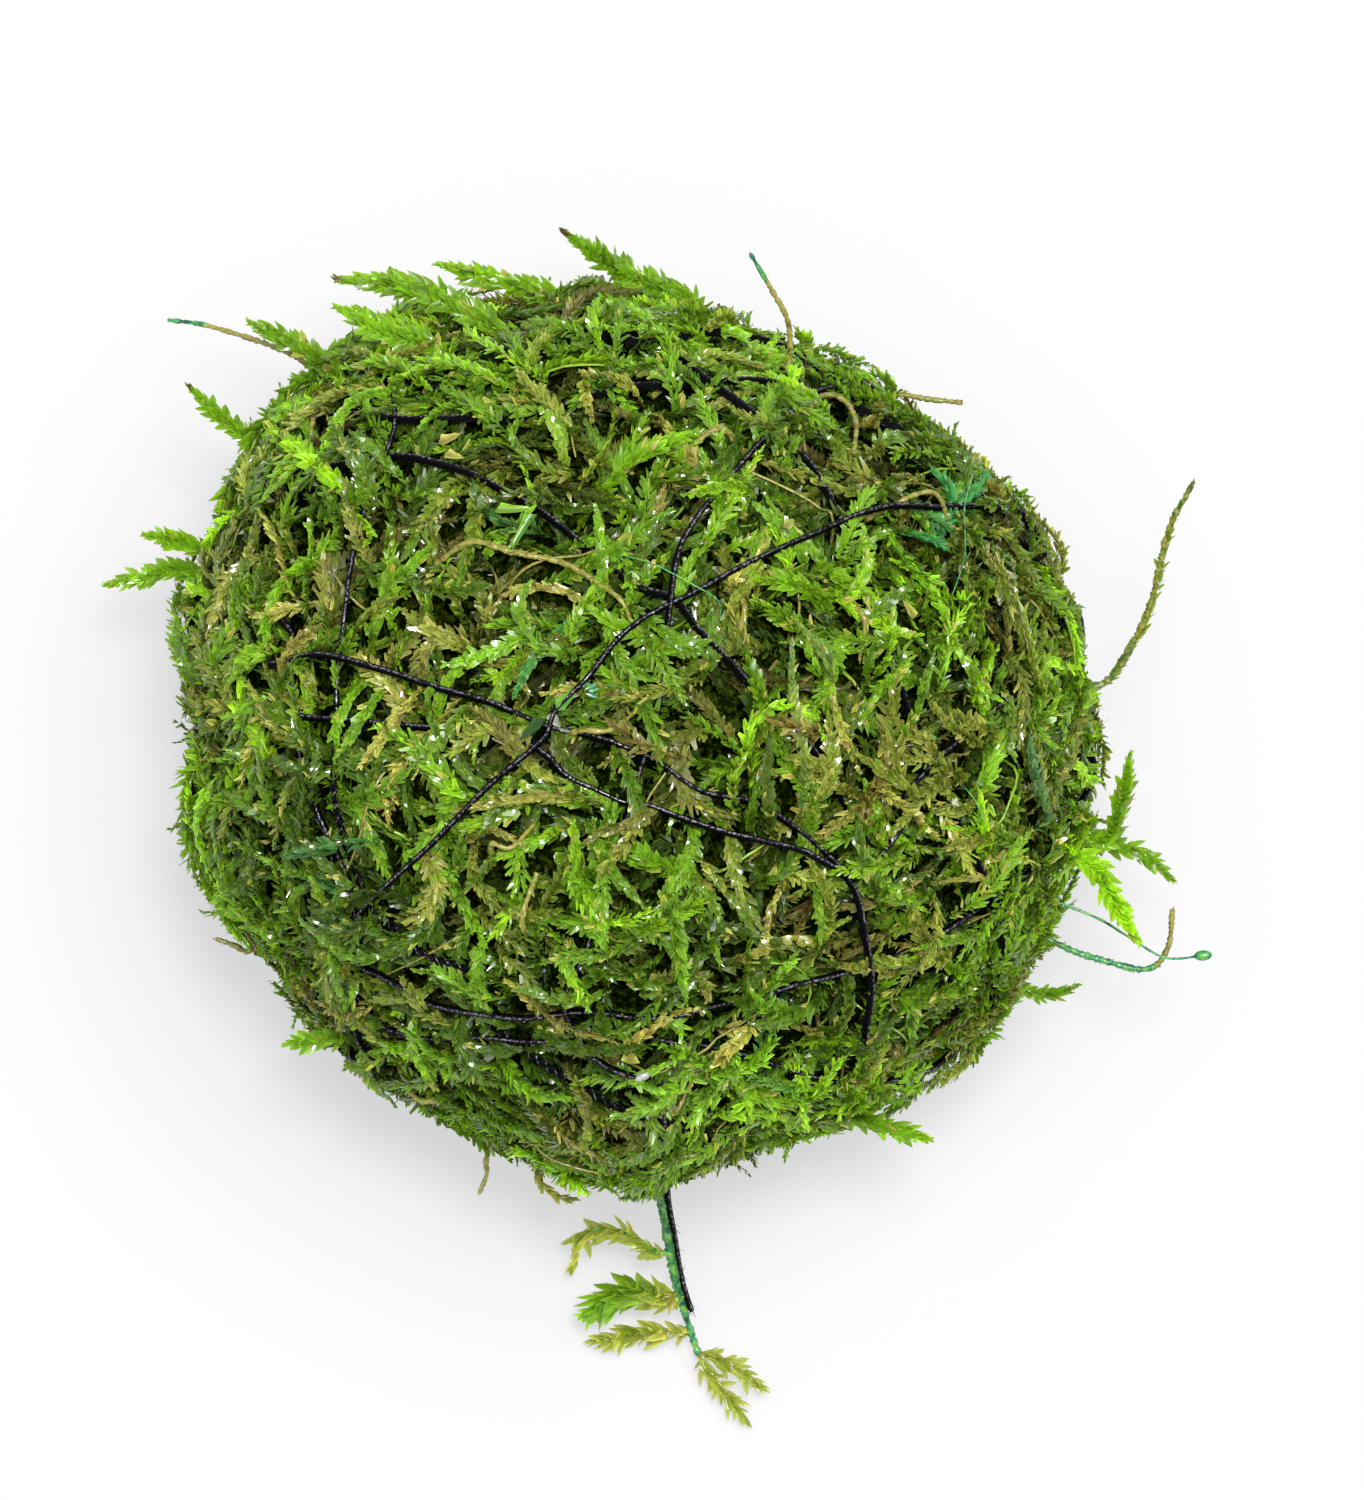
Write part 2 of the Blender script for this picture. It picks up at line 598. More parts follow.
def leaves_object(name, rows, placed, shape, material, big=True):
    """One mesh object from the placed leaves, with their numbers as attributes."""
    points, faces = shape
    count, size = placed.shape[:2]
    mesh = bpy.data.meshes.new(name)
    all_faces = (faces[None, :, :] + (np.arange(count) * size)[:, None, None]).reshape(-1, 3)
    mesh.from_pydata((placed.reshape(-1, 3) * MM).tolist(), [], all_faces.tolist())
    mesh.shade_smooth()
    for key in PAINT_NUMBERS:
        add_numbers(mesh, key, np.repeat(rows[key], size))
    add_numbers(mesh, "along", np.tile(points[:, 0], count))
    add_numbers(mesh, "side", np.tile(points[:, 1] / LEAF_HALF_WIDTH, count))
    if big:
        add_squares(mesh, points, all_faces, count)
    mesh.materials.append(material)
    made = bpy.data.objects.new(name, mesh)
    bpy.context.scene.collection.objects.link(made)
    return made


# %% [markdown]
# ## Leaves along a shoot
#
# A shoot is a list of stations, one leaf gap apart: a place, the direction ahead and the way out of the ball. The
# leaves stand in four ranks that overlap like scales. Two ranks spread sideways, which makes the shoot look flat,
# and two lie forwards along its back and hide the stem. Towards the tip they get smaller and close up into a point.
# Each leaf is turned and tilted a little by chance. How a shoot looks is one small table, with defaults.

# %% Leaf ranks
LEAF_GAP = 0.145
RANKS = ((0, 1, 80.0, 66.0), (0, -1, 32.0, 38.0), (1, -1, 80.0, 66.0), (1, 1, 32.0, 38.0))
SIDE_SPREAD = 50.0
TIP_CLOSES_FROM = 0.72
DARK_TIP_FROM = 0.95
DARK_TIP_AGE = 0.985
HUSKS = 0.05
HUSK_AGES = (0.70, 0.86)
HUSK_TONE = 1.25


def look_of(age, tone, **changes):
    """How the leaves of one shoot look. Lengths are in millimetres, and spread is a share of the usual angle."""
    look = {"age": age, "tone": tone, "tip_age": 0.0, "dyed": 0.0, "leaf": 1.0, "plump": 1.0, "leafiness": 0.95,
            "roll": 0.0, "spread": 1.0, "cup": 0.14, "hook": 0.45, "dark_tip": False,
            "leaves": "fresh", "stem": (("green stem", 0.0, 1.0),), "stem_radius": 0.16, "knotty": 0.2}
    look.update(changes)
    return look


def level_with(normal, direction):
    """The part of a direction that lies in the plane with this normal, at length 1."""
    return (direction - normal * direction.dot(normal)).normalized()


def with_frames(stations):
    """Each station with its direction ahead, from the places before and after it."""
    framed = []
    for index, (place, out, share) in enumerate(stations):
        before = stations[max(index - 1, 0)][0]
        after = stations[min(index + 1, len(stations) - 1)][0]
        ahead = (after - before).normalized()
        framed.append((place, ahead, level_with(ahead, out), share))
    return framed


def leaf_rows(framed, look, chance):
    """The numbers of every leaf along one shoot, as a list of one tuple for each leaf."""
    made = []
    for index, (place, ahead, out, share) in enumerate(framed):
        up = Matrix.Rotation(look["roll"], 3, ahead) @ out
        side = up.cross(ahead)
        full = min(1.0, 0.5 + 2.5 * share, 0.45 + 2.0 * (1 - share))
        close = 1 - 0.65 * max(0.0, share - TIP_CLOSES_FROM) / (1 - TIP_CLOSES_FROM)
        for parity, hand, turn, spread in RANKS:
            if (index + parity) % 2 or chance.random() > look["leafiness"]:
                continue
            around = math.radians(turn + chance.uniform(-14, 14))
            angle = math.radians(spread * look["spread"] * close + chance.uniform(-11, 11))
            radial = up * math.cos(around) + side * (hand * math.sin(around))
            axis = (ahead * math.cos(angle) + radial * math.sin(angle)).normalized()
            face = level_with(axis, up + side * chance.gauss(0, 0.6))
            length = look["leaf"] * full * chance.uniform(0.75, 1.2)
            age = look["age"] + look["tip_age"] * share + chance.gauss(0, 0.05)
            tone = look["tone"] * (1.1 if spread < SIDE_SPREAD else 0.92) * chance.uniform(0.75, 1.25)
            if chance.random() < HUSKS:
                age, tone = chance.uniform(*HUSK_AGES), HUSK_TONE
            if look["dark_tip"] and share > DARK_TIP_FROM:
                age = DARK_TIP_AGE
            made.append((*place, *axis, *face, length, look["plump"] * chance.uniform(0.8, 1.25),
                         length * look["cup"] * chance.uniform(0.3, 1.4), length * chance.uniform(-0.25, 0.25),
                         -hand * look["hook"] * chance.uniform(0.2, 1.2), age, tone, look["dyed"]))
    return made


def as_columns(leaves):
    """The list of leaves as named arrays."""
    table = np.array(leaves)
    names = ("length", "width", "cup", "curl", "hook", "age", "tone", "dyed")
    rows = {"root": table[:, 0:3], "axis": table[:, 3:6], "face": table[:, 6:9]}
    for column, name in enumerate(names, start=9):
        rows[name] = table[:, column]
    return rows


print("leaves to a centimetre of shoot:", round(10 / LEAF_GAP * 2))

# %% [markdown]
# ## Where the thread shows
#
# The thread has sunk into the moss. In some stretches it lies open in its own groove, and between them leaves have
# sprung back over it. The open stretches on top are a list of short lines, seen from above. Round the sides and
# underneath, slow noise chooses them.

# %% Open stretches of the thread
OPEN_STRETCHES = (
    ((-15.2, 3.4), (-4.9, 0.5)), ((-4.0, -0.3), (13.6, -9.2)),
    ((-5.4, -1.5), (-2.1, -4.1)), ((-2.1, -4.1), (9.2, -6.9)), ((9.2, -6.9), (13.2, -8.3)),
    ((-9.6, -3.8), (-0.7, 5.0)), ((-11.0, -5.5), (-15.6, -9.9)), ((1.1, 6.5), (16.4, 13.4)),
    ((16.4, 13.4), (27.2, 13.4)), ((3.0, 7.3), (5.3, 13.8)), ((-15.2, 16.8), (-9.8, 15.4)),
    ((-5.9, 14.3), (-3.0, 12.5)), ((0.7, 9.1), (6.0, 4.3)), ((4.4, 21.5), (12.0, 21.7)),
    ((4.4, 21.5), (8.5, 19.1)), ((10.4, 17.1), (12.5, 15.2)), ((-14.9, 21.9), (-15.4, 18.2)),
    ((-17.5, 11.5), (-18.4, 4.3)), ((-18.4, 1.7), (-18.9, -2.7)), ((-18.9, -2.7), (-17.2, -9.9)),
    ((-19.8, -2.9), (-17.2, -9.9)), ((-17.2, -9.9), (-15.8, -11.4)), ((-21.8, 4.8), (-18.5, 3.8)),
    ((1.8, 1.3), (4.6, 2.0)), ((13.6, -9.2), (16.6, -6.6)), ((-17.2, -20.0), (-15.8, -11.4)),
    ((-12.5, -17.0), (2.1, -25.3)), ((-16.5, -15.4), (-1.9, -18.0)), ((1.4, -18.0), (14.6, -15.0)),
    ((14.6, -10.1), (15.3, -18.0)), ((4.4, 24.7), (9.3, 24.2)), ((8.3, 26.4), (13.9, 23.8)),
    ((-27.4, 10.5), (-28.4, 4.5)),
)
OPEN_WITHIN = 1.3
SAME_WAY = 0.8
OPEN_NOISE = 2.2
SEEN_FROM_ABOVE = 31.0


def gap_to_line(x, y, line):
    """How far a point of the plan lies from a short straight line."""
    (x1, y1), (x2, y2) = line
    long = (x2 - x1) ** 2 + (y2 - y1) ** 2
    share = min(1.0, max(0.0, ((x - x1) * (x2 - x1) + (y - y1) * (y2 - y1)) / long))
    return math.hypot(x - x1 - share * (x2 - x1), y - y1 - share * (y2 - y1))


def runs_along(ahead, line):
    """Whether the thread runs the same way here as a short line, and so is the strand that the line means."""
    (x1, y1), (x2, y2) = line
    return abs(Vector((x2 - x1, y2 - y1)).normalized().dot(Vector(ahead[:2]).normalized())) > SAME_WAY


def how_open(point, ahead):
    """1 where the thread shows at this point of its route, 0 where moss covers it."""
    if point.z > SEEN_FROM_ABOVE:
        close = [line for line in OPEN_STRETCHES if gap_to_line(point.x, point.y, line) < OPEN_WITHIN]
        return float(any(runs_along(ahead, line) for line in close))
    return float(noise.noise((point - CENTRE).normalized() * OPEN_NOISE + Vector((4.0, 1.0, 9.0))) > -0.08)


thread_points = np.array(thread_line)
thread_ahead = np.gradient(thread_points, axis=0)
thread_ahead /= np.linalg.norm(thread_ahead, axis=1)[:, None]
SOFTEN = np.array((1.0, 2.0, 3.0, 2.0, 1.0)) / 9.0
thread_open = np.convolve([how_open(*both) for both in zip(thread_line, thread_ahead)], SOFTEN, mode="same")
thread_tree = kdtree.KDTree(len(thread_line))
for index, point in enumerate(thread_line):
    thread_tree.insert(point, index)
thread_tree.balance()
print("share of the thread that lies open:", round(float(thread_open.mean()), 2))

# %% [markdown]
# ## The lie of a shoot
#
# Each shoot creeps over the ball: it starts a little down in the mat, runs along it in a gentle curve, and lifts its
# tip. Round the widest line the shoots lie level, because hands have smoothed them round the ball. Over the top
# they follow a direction that is read from slowly changing noise, which gives swirls. Where covered thread lies in
# the way, a shoot near the top rises over it.

# %% Shoots laid over the ball
SWIRL_SIZE = 2.3
LEVEL_PULL = 1.3
CLIMB_WITHIN = 1.5
CLIMB_ABOVE = 0.30
COVERED_BELOW = 0.5


def swirl(direction, hand):
    """The way in which the shoots lie at one place of the ball. The hand is 1 or -1."""
    around = Vector((-direction.y, direction.x, 0.0)) * (hand * LEVEL_PULL * (1 - direction.z ** 2))
    free = noise.noise_vector(direction * SWIRL_SIZE + Vector((3.1, 7.7, 1.3)))
    return level_with(direction, free + around)


def climbed(place, direction):
    """The place, raised where covered thread passes close under it."""
    near, index, distance = thread_tree.find(place)
    if distance > CLIMB_WITHIN or thread_open[index] > COVERED_BELOW:
        return place
    short = (near - place).dot(direction) + CLIMB_ABOVE
    return place + direction * max(0.0, short) * (1 - (distance / CLIMB_WITHIN) ** 2)


def lay_shoot(start, heading, length, curve, height_at, climbs):
    """The stations of a shoot that creeps from one direction of the ball along a heading."""
    direction, ahead = start, level_with(start, heading)
    steps = max(4, round(length / LEAF_GAP))
    stations = []
    for step in range(steps + 1):
        share = step / steps
        place = on_ball(direction, height_at(share))
        stations.append((climbed(place, direction) if climbs else place, direction, share))
        moved = (direction + ahead * (LEAF_GAP / HALF_HEIGHT)).normalized()
        ahead = level_with(moved, ahead)
        ahead = Matrix.Rotation(curve * LEAF_GAP, 3, moved) @ ahead
        direction = moved
    return stations


# %% [markdown]
# ## The matted shoots
#
# Start points spread evenly over a ball come from a spiral of golden angles. Each start gets a shoot with its own
# length, lie, age and tone, on one of three levels: deep in the mat, in its upper layer, or on its crest, where
# single shoots lie free and show their whole form. A few stand proud with their tips. There are three habits of
# growth: leaves that clasp the stem like a braid, leaves that spread like a feather, and something between. Slow
# noise sets where the moss is lime, green or golden, and on top patches chosen by hand set it.

# %% Patches of colour
PATCHES = (
    (-9.9, 8.5, 4.0, 0.72, 0.9), (-4.6, 19.1, 4.0, 0.66, 0.9), (4.7, 5.2, 2.5, 0.72, 0.8),
    (16.6, 15.1, 3.0, 0.74, 0.8), (24.6, 8.5, 3.5, 0.70, 0.8), (13.6, -2.8, 4.0, 0.77, 1.0),
    (19.3, -2.1, 3.5, 0.73, 1.0), (26.6, -4.8, 3.0, 0.71, 0.9), (-7.2, -12.1, 3.0, 0.68, 0.8),
    (-1.9, -24.6, 3.0, 0.72, 1.0), (-25.8, 11.1, 3.0, 0.68, 0.8), (-15.8, -16.7, 2.5, 0.70, 0.8),
    (1.4, -14.7, 2.5, 0.66, 0.7), (11.3, -11.3, 3.0, 0.80, 1.1), (-20.5, 20.7, 2.8, 0.76, 1.0),
    (-19.8, 11.1, 2.2, 0.80, 0.9), (0.7, 17.1, 3.0, 0.30, 0.9), (13.3, 10.5, 3.0, 0.26, 1.0),
    (0.7, 5.2, 2.5, 0.26, 1.0), (-1.9, -10.1, 3.5, 0.30, 0.9), (10.0, -23.3, 3.0, 0.14, 1.2),
    (30.2, -8.1, 3.5, 0.16, 1.1), (23.2, -13.4, 3.0, 0.26, 0.9), (-23.1, 21.7, 4.0, 0.26, 1.0),
    (-13.2, 26.4, 4.0, 0.14, 1.1), (2.0, 27.7, 4.0, 0.22, 1.0), (-29.7, -6.1, 4.0, 0.18, 1.1),
    (20.6, -9.4, 2.5, 0.24, 0.8), (4.7, -15.4, 4.0, 0.40, 0.6), (-13.8, -13.4, 3.0, 0.44, 0.5),
    (-19.0, -8.0, 2.5, 0.42, 0.6), (7.4, -3.4, 2.0, 0.46, 0.5), (-6.0, 13.0, 2.5, 0.44, 0.5),
    (-27.0, 2.0, 3.0, 0.62, 0.9), (28.5, 3.0, 3.0, 0.24, 0.9), (-10.0, -26.0, 4.0, 0.34, 1.0),
    (-19.6, -3.6, 2.4, 0.42, 0.4), (-17.8, -11.6, 2.4, 0.42, 0.4), (-2.4, -21.4, 2.8, 0.42, 0.4),
    (2.6, 10.2, 2.2, 0.44, 0.5), (13.4, -8.6, 2.0, 0.44, 0.5), (-9.5, -19.0, 2.2, 0.42, 0.45),
)


DYED_PATCHES = ((20.5, 14.5, 2.2), (-5.5, 5.0, 1.2), (24.5, -3.0, 1.6), (-18.5, -8.0, 0.9), (9.5, -20.5, 1.3),
                (-8.0, 11.5, 1.5))
DYED_BY = (0.20, 0.50)
GOLDEN_ABOVE = 0.62
LIME_BELOW = 0.36


def patch(direction, scale, seed):
    """A slow noise over the ball, from about 0 to 1."""
    return 0.5 + 0.5 * noise.noise(direction * scale + Vector((seed, seed * 0.7, -seed)))


def local_colour(direction):
    """The age, tone and dye of the moss at one place, from the noise and from the patches on top."""
    golden = patch(direction, 4.6, 5.0) + chance.gauss(0, 0.15)
    age = 0.40 + chance.gauss(0, 0.08)
    if golden > GOLDEN_ABOVE:
        age = chance.uniform(0.60, 0.88)
    elif golden < LIME_BELOW:
        age = chance.uniform(0.10, 0.32)
    tone = 0.28 + 1.25 * (patch(direction, 3.2, 17.0) + chance.gauss(0, 0.12))
    place = on_ball(direction)
    for x, y, radius, patch_age, patch_tone in PATCHES:
        if direction.z > 0 and math.hypot(place.x - x, place.y - y) < radius * chance.uniform(0.6, 1.2):
            age = patch_age + chance.gauss(0, 0.06)
            tone = patch_tone * chance.uniform(0.85, 1.15)
    dyed = 0.0
    for x, y, radius in DYED_PATCHES:
        if direction.z > 0 and math.hypot(place.x - x, place.y - y) < radius * chance.uniform(0.5, 1.2):
            dyed = chance.uniform(*DYED_BY)
    return age, tone, dyed


print("patches:", len(PATCHES))

# %% Shoots of the mat
SHOOT_COUNT = 3500
GOLDEN_ANGLE = math.pi * (3 - math.sqrt(5))
THIN_BELOW = 0.20
LEVELS = {
    "deep": {"root": (-2.4, -1.6), "back": (-1.6, -0.3), "tip": (-0.4, 0.5), "length": (5.0, 8.0)},
    "upper": {"root": (-2.0, -1.0), "back": (-0.4, 0.6), "tip": (-0.5, 0.8), "length": (4.5, 8.0)},
    "crest": {"root": (-1.6, -0.6), "back": (0.3, 0.9), "tip": (-0.2, 0.9), "length": (5.0, 9.0)},
    "proud": {"root": (-1.6, -0.8), "back": (-0.1, 0.5), "tip": (0.8, 1.9), "length": (4.0, 7.0)},
}
LEVEL_ORDER = ("deep", "upper", "crest", "deep", "upper", "deep", "upper", "proud", "deep", "upper")
HABITS = (
    {"leaf": 0.74, "plump": 1.60, "spread": 0.80, "hook": 0.35},
    {"leaf": 0.94, "plump": 0.95, "spread": 1.05, "hook": 0.70},
    {"leaf": 0.84, "plump": 1.25, "spread": 0.95, "hook": 0.50},
)
chance = random.Random(11)


def spread_evenly(count):
    """Directions spread evenly over a ball."""
    found = []
    for index in range(count):
        z = 1 - 2 * (index + 0.5) / count
        level = math.sqrt(1 - z * z)
        found.append(Vector((level * math.cos(index * GOLDEN_ANGLE), level * math.sin(index * GOLDEN_ANGLE), z)))
    return found


def rise_of(level):
    """The rise and fall of one shoot: its root deep in the mat, its back level, and its tip let go."""
    root, back, tip = (chance.uniform(*LEVELS[level][key]) for key in ("root", "back", "tip"))

    def height_at(share):
        up = min(1.0, share / 0.28)
        let_go = max(0.0, share - 0.6) / 0.4
        return root + (back - root) * up * (2 - up) + tip * let_go * let_go

    return height_at


def mat_shoot(direction, level):
    """One shoot of the mat: its framed stations and its look, or nothing where the mat is thin."""
    jitter = Vector([chance.gauss(0, 0.035) for _ in range(3)])
    start = (direction + jitter).normalized()
    heading = Matrix.Rotation(chance.gauss(0, 0.8), 3, start) @ swirl(start, chance.choice((-1, 1)))
    length = chance.uniform(*LEVELS[level]["length"])
    start = (start - heading * (0.5 * length / HALF_HEIGHT)).normalized()
    if level != "deep" and patch(start, 6.0, 31.0) < THIN_BELOW:
        return None
    stations = lay_shoot(start, heading, length, chance.gauss(0, 0.17), rise_of(level), level != "deep")
    age, tone, dyed = local_colour(direction)
    look = look_of(age, tone, dyed=dyed, tip_age=chance.uniform(-0.26, 0.06), leafiness=chance.uniform(0.8, 1.0),
                   roll=chance.gauss(0, 0.5), cup=chance.choice((-0.12, 0.16, 0.22)), **chance.choice(HABITS))
    look["leaf"] *= chance.uniform(0.85, 1.15)
    look["tone"] *= chance.uniform(0.65, 1.3)
    if level == "deep":
        look["tone"] *= 0.6
    if level == "crest":
        look["tone"] *= 1.15
        look["leaf"] *= 1.08
    return with_frames(stations), look


BRIDGE_EVERY = 2
BRIDGE_LENGTH = (4.0, 7.0)
BRIDGE_ABOVE = 0.42
BRIDGE_ENDS = 1.7
UNDER_THE_BALL = 6.0


def bridging_shoot(index):
    """A shoot that has sprung back over one covered point of the thread."""
    middle = direction_of(thread_line[index])
    height = (thread_line[index] - on_ball(middle)).dot(middle) + BRIDGE_ABOVE
    slant = chance.choice((-1, 1)) * chance.uniform(0.25, 1.3)
    heading = Matrix.Rotation(slant, 3, middle) @ level_with(middle, Vector(thread_ahead[index]))
    length = chance.uniform(*BRIDGE_LENGTH)
    start = (middle - heading * (0.5 * length / HALF_HEIGHT)).normalized()
    stations = lay_shoot(start, heading, length, chance.gauss(0, 0.10),
                         lambda share: height - BRIDGE_ENDS * (1 - share) * abs(2 * share - 1) ** 1.5, False)
    age, tone, dyed = local_colour(middle)
    return with_frames(stations), look_of(age, tone, dyed=dyed, roll=chance.gauss(0, 0.4), cup=chance.choice((-0.12, 0.2)),
                                          **chance.choice(HABITS))


mat_leaf_list = []
mat_stems = []
for index in range(BRIDGE_EVERY, len(wound) - 1, BRIDGE_EVERY):
    if thread_open[index] < COVERED_BELOW and thread_line[index].z > UNDER_THE_BALL:
        framed, look = bridging_shoot(index)
        mat_leaf_list += leaf_rows(framed, look, chance)
print("leaves that bridge the thread:", len(mat_leaf_list))
for index, direction in enumerate(spread_evenly(SHOOT_COUNT)):
    level = LEVEL_ORDER[index % len(LEVEL_ORDER)]
    laid = mat_shoot(direction, level)
    if laid:
        framed, look = laid
        mat_leaf_list += leaf_rows(framed, look, chance)
        mat_stems.append((framed, look))
print("shoots:", len(mat_stems), "leaves:", len(mat_leaf_list))

# %% [markdown]
# ## Pressed under the thread
#
# The thread is pulled tight, so where it lies open it has a groove of its own. Every leaf point close to it that
# stands higher than the groove allows is pushed down. The groove is a slope from just under the thread to the free
# height two millimetres away. Points lower than the floor are pressed flat, which gives the ball its resting spot.

# %% Groove and flat spot
NEAR_THREAD = 2.2
PRESSED_BELOW = 0.32
LOWEST_LEAF = 0.12
FREE_HEIGHT = 4.0


def pressed(placed):
    """The leaves' points, pushed down beside the open thread and kept above the floor."""
    count = placed.shape[0]
    middles = placed.mean(axis=1)
    nearest, distance = np.zeros(count, int), np.zeros(count)
    for index, middle in enumerate(middles):
        _, nearest[index], distance[index] = thread_tree.find(middle)
    close = distance < NEAR_THREAD + 1.2
    points, index = placed[close], nearest[close]
    under, ahead = thread_points[index][:, None, :], thread_ahead[index][:, None, :]
    out = under - np.array(CENTRE)
    out = out / np.linalg.norm(out, axis=2)[:, :, None]
    away = points - under
    up = (away * out).sum(axis=2)
    beside = away - up[:, :, None] * out
    beside = beside - (beside * ahead).sum(axis=2)[:, :, None] * ahead
    reach = np.linalg.norm(beside, axis=2)
    allowed = -PRESSED_BELOW + np.clip(reach - 0.12, 0, None) ** 1.15 * 1.6
    allowed = allowed + (1 - thread_open[index])[:, None] * FREE_HEIGHT
    push = np.clip(up - allowed, 0, None)
    placed[close] = points - push[:, :, None] * out
    placed[:, :, 2] = np.maximum(placed[:, :, 2], LOWEST_LEAF)
    return placed


# %% [markdown]
# ## The mat in pieces
#
# One mesh of all the leaves would be too heavy to handle, so the mat is cut into fields, each with its own mesh: one
# over the top and four round the sides, each with its deep leaves and its upper ones apart. First the height of each
# leaf is held against that of the moss around it. A leaf between higher ones gets little light, so it turns dark and
# has the plain shape. Leaves too deep to be seen from anywhere are left out, which makes the part far lighter.

# %% Shade between the shoots
SHADE_CELLS = 9000
SHADE_AROUND = 0.085
SHADE_DEPTH = 1.45
DARKEST = 0.32
LIGHTEST = 1.22
PLAIN_BELOW = 0.8
HIDDEN_BELOW = 2.2
LEVEL_AT_MOST = 1.3
WIDER_IN_SHADE = 1.3


def depths(rows):
    """How far each leaf's middle lies below the level of the moss around it, in millimetres."""
    out = rows["root"] + rows["axis"] * (rows["length"] * 0.6)[:, None] - np.array(CENTRE)
    reach = np.linalg.norm(out, axis=1)
    cells = spread_evenly(SHADE_CELLS)
    cell_tree = kdtree.KDTree(SHADE_CELLS)
    for index, cell in enumerate(cells):
        cell_tree.insert(cell, index)
    cell_tree.balance()
    cell_of = np.array([cell_tree.find(direction)[1] for direction in out / reach[:, None]])
    highest = np.zeros(SHADE_CELLS)
    np.maximum.at(highest, cell_of, reach)
    level = np.array([np.mean([highest[near] for _, near, _ in cell_tree.find_range(cell, SHADE_AROUND)])
                      for cell in cells])
    surface = np.array([(on_ball(direction_of(CENTRE + cell)) - CENTRE).length for cell in cells])
    return np.clip(np.minimum(level, surface + LEVEL_AT_MOST)[cell_of] - reach, 0.0, None)


mat_rows = as_columns(mat_leaf_list)
depth = depths(mat_rows)
mat_rows["tone"] *= DARKEST + (LIGHTEST - DARKEST) * np.exp(-(depth / SHADE_DEPTH) ** 2)
mat_rows["width"] *= np.where(depth < PLAIN_BELOW, 1.0, WIDER_IN_SHADE)
print("depth of the leaves in millimetres, at each tenth:", np.round(np.percentile(depth, range(10, 100, 10)), 2))


# %% Mesh of each field
FIELDS = ("top", "right", "back", "left", "front")
TOP_FROM = 0.62


def field_of(roots):
    """The number of the field in which each root lies."""
    out = (roots - np.array(CENTRE)) / (30.0, 30.0, HALF_HEIGHT)
    out = out / np.linalg.norm(out, axis=1)[:, None]
    quarter = np.round(np.arctan2(out[:, 1], out[:, 0]) / (math.pi / 2)).astype(int) % 4
    return np.where(out[:, 2] > TOP_FROM, 0, quarter + 1)


def part_of(rows, chosen):
    """The chosen leaves of a table."""
    return {key: values[chosen] for key, values in rows.items()}


def lay_fields(prefix, rows, shape):
    """The leaves as one object for each field, all standing for the ball's solid."""
    placed = pressed(grown_leaves(rows, shape))
    fields = field_of(rows["root"])
    for number, field in enumerate(FIELDS):
        chosen = fields == number
        piece = leaves_object(prefix + "_" + field, part_of(rows, chosen), placed[chosen], shape, mat_leaves)
        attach(piece, "root")
        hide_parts("moss_ball")
        print(piece.name, "triangles:", len(piece.data.polygons))


lay_fields("upper_leaves", part_of(mat_rows, depth < PLAIN_BELOW), mat_leaf)
lay_fields("deep_leaves", part_of(mat_rows, (depth >= PLAIN_BELOW) & (depth < HIDDEN_BELOW)), deep_leaf)

# %% [markdown]
# ## The dark inside of the mat
#
# Between the shoots one looks down into wet, shaded moss. A lumpy dark ball just under the leaves closes the view.
# It starts as a cube that is divided and rounded, as its faces are then nearly even and it has no poles.

# %% Inner mat
CORE_CUTS = 29
CORE_DEPTH = 2.1


def rounded_cube(cuts):
    """A ball of even four-sided faces: a cube, divided as a grid and blown up."""
    bm = bmesh.new()
    bmesh.ops.create_cube(bm, size=2.0)
    bmesh.ops.subdivide_edges(bm, edges=bm.edges[:], cuts=cuts, use_grid_fill=True)
    for vert in bm.verts:
        x, y, z = (part * part for part in vert.co)
        vert.co = (
            vert.co.x * math.sqrt(1 - y / 2 - z / 2 + y * z / 3),
            vert.co.y * math.sqrt(1 - z / 2 - x / 2 + z * x / 3),
            vert.co.z * math.sqrt(1 - x / 2 - y / 2 + x * y / 3),
        )
    return bm


def finished_object(name, bm, material):
    """An object in metres from a bmesh in millimetres, with smooth faces."""
    bmesh.ops.scale(bm, vec=(MM, MM, MM), verts=bm.verts)
    bmesh.ops.recalc_face_normals(bm, faces=bm.faces)
    mesh = bpy.data.meshes.new(name)
    bm.to_mesh(mesh)
    bm.free()
    mesh.shade_smooth()
    mesh.materials.append(material)
    made = bpy.data.objects.new(name, mesh)
    bpy.context.scene.collection.objects.link(made)
    return made


core_finish = Finish("dark wet inside")
hollows = core_finish.clouds(1900.0, 4.0, 0.65)
core_colour = core_finish.ramp(hollows, ((0.36, (0.0004, 0.001, 0.000)), (0.50, (0.006, 0.012, 0.000)),
                                         (0.62, (0.040, 0.055, 0.003))))
core_bump = core_finish.node("ShaderNodeBump", {}, {"Strength": 1.0, "Distance": 0.0008, "Height": hollows},
                             out="Normal")
core_finish.surface(Base_Color=core_colour, Roughness=0.9, Specular_IOR_Level=0.0, Normal=core_bump)

bm = rounded_cube(CORE_CUTS)
for vert in bm.verts:
    direction = vert.co.normalized()
    rough = noise.noise(direction * 22.0) * 0.7 + noise.noise(direction * 9.0) * 0.6
    vert.co = on_ball(direction, rough - CORE_DEPTH)
    vert.co.z = max(vert.co.z, LOWEST_LEAF + 0.05)
core = finished_object("inner_mat", bm, core_finish.material)
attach(core, "root")
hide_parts("moss_ball")
print("inner mat faces:", len(core.data.polygons))

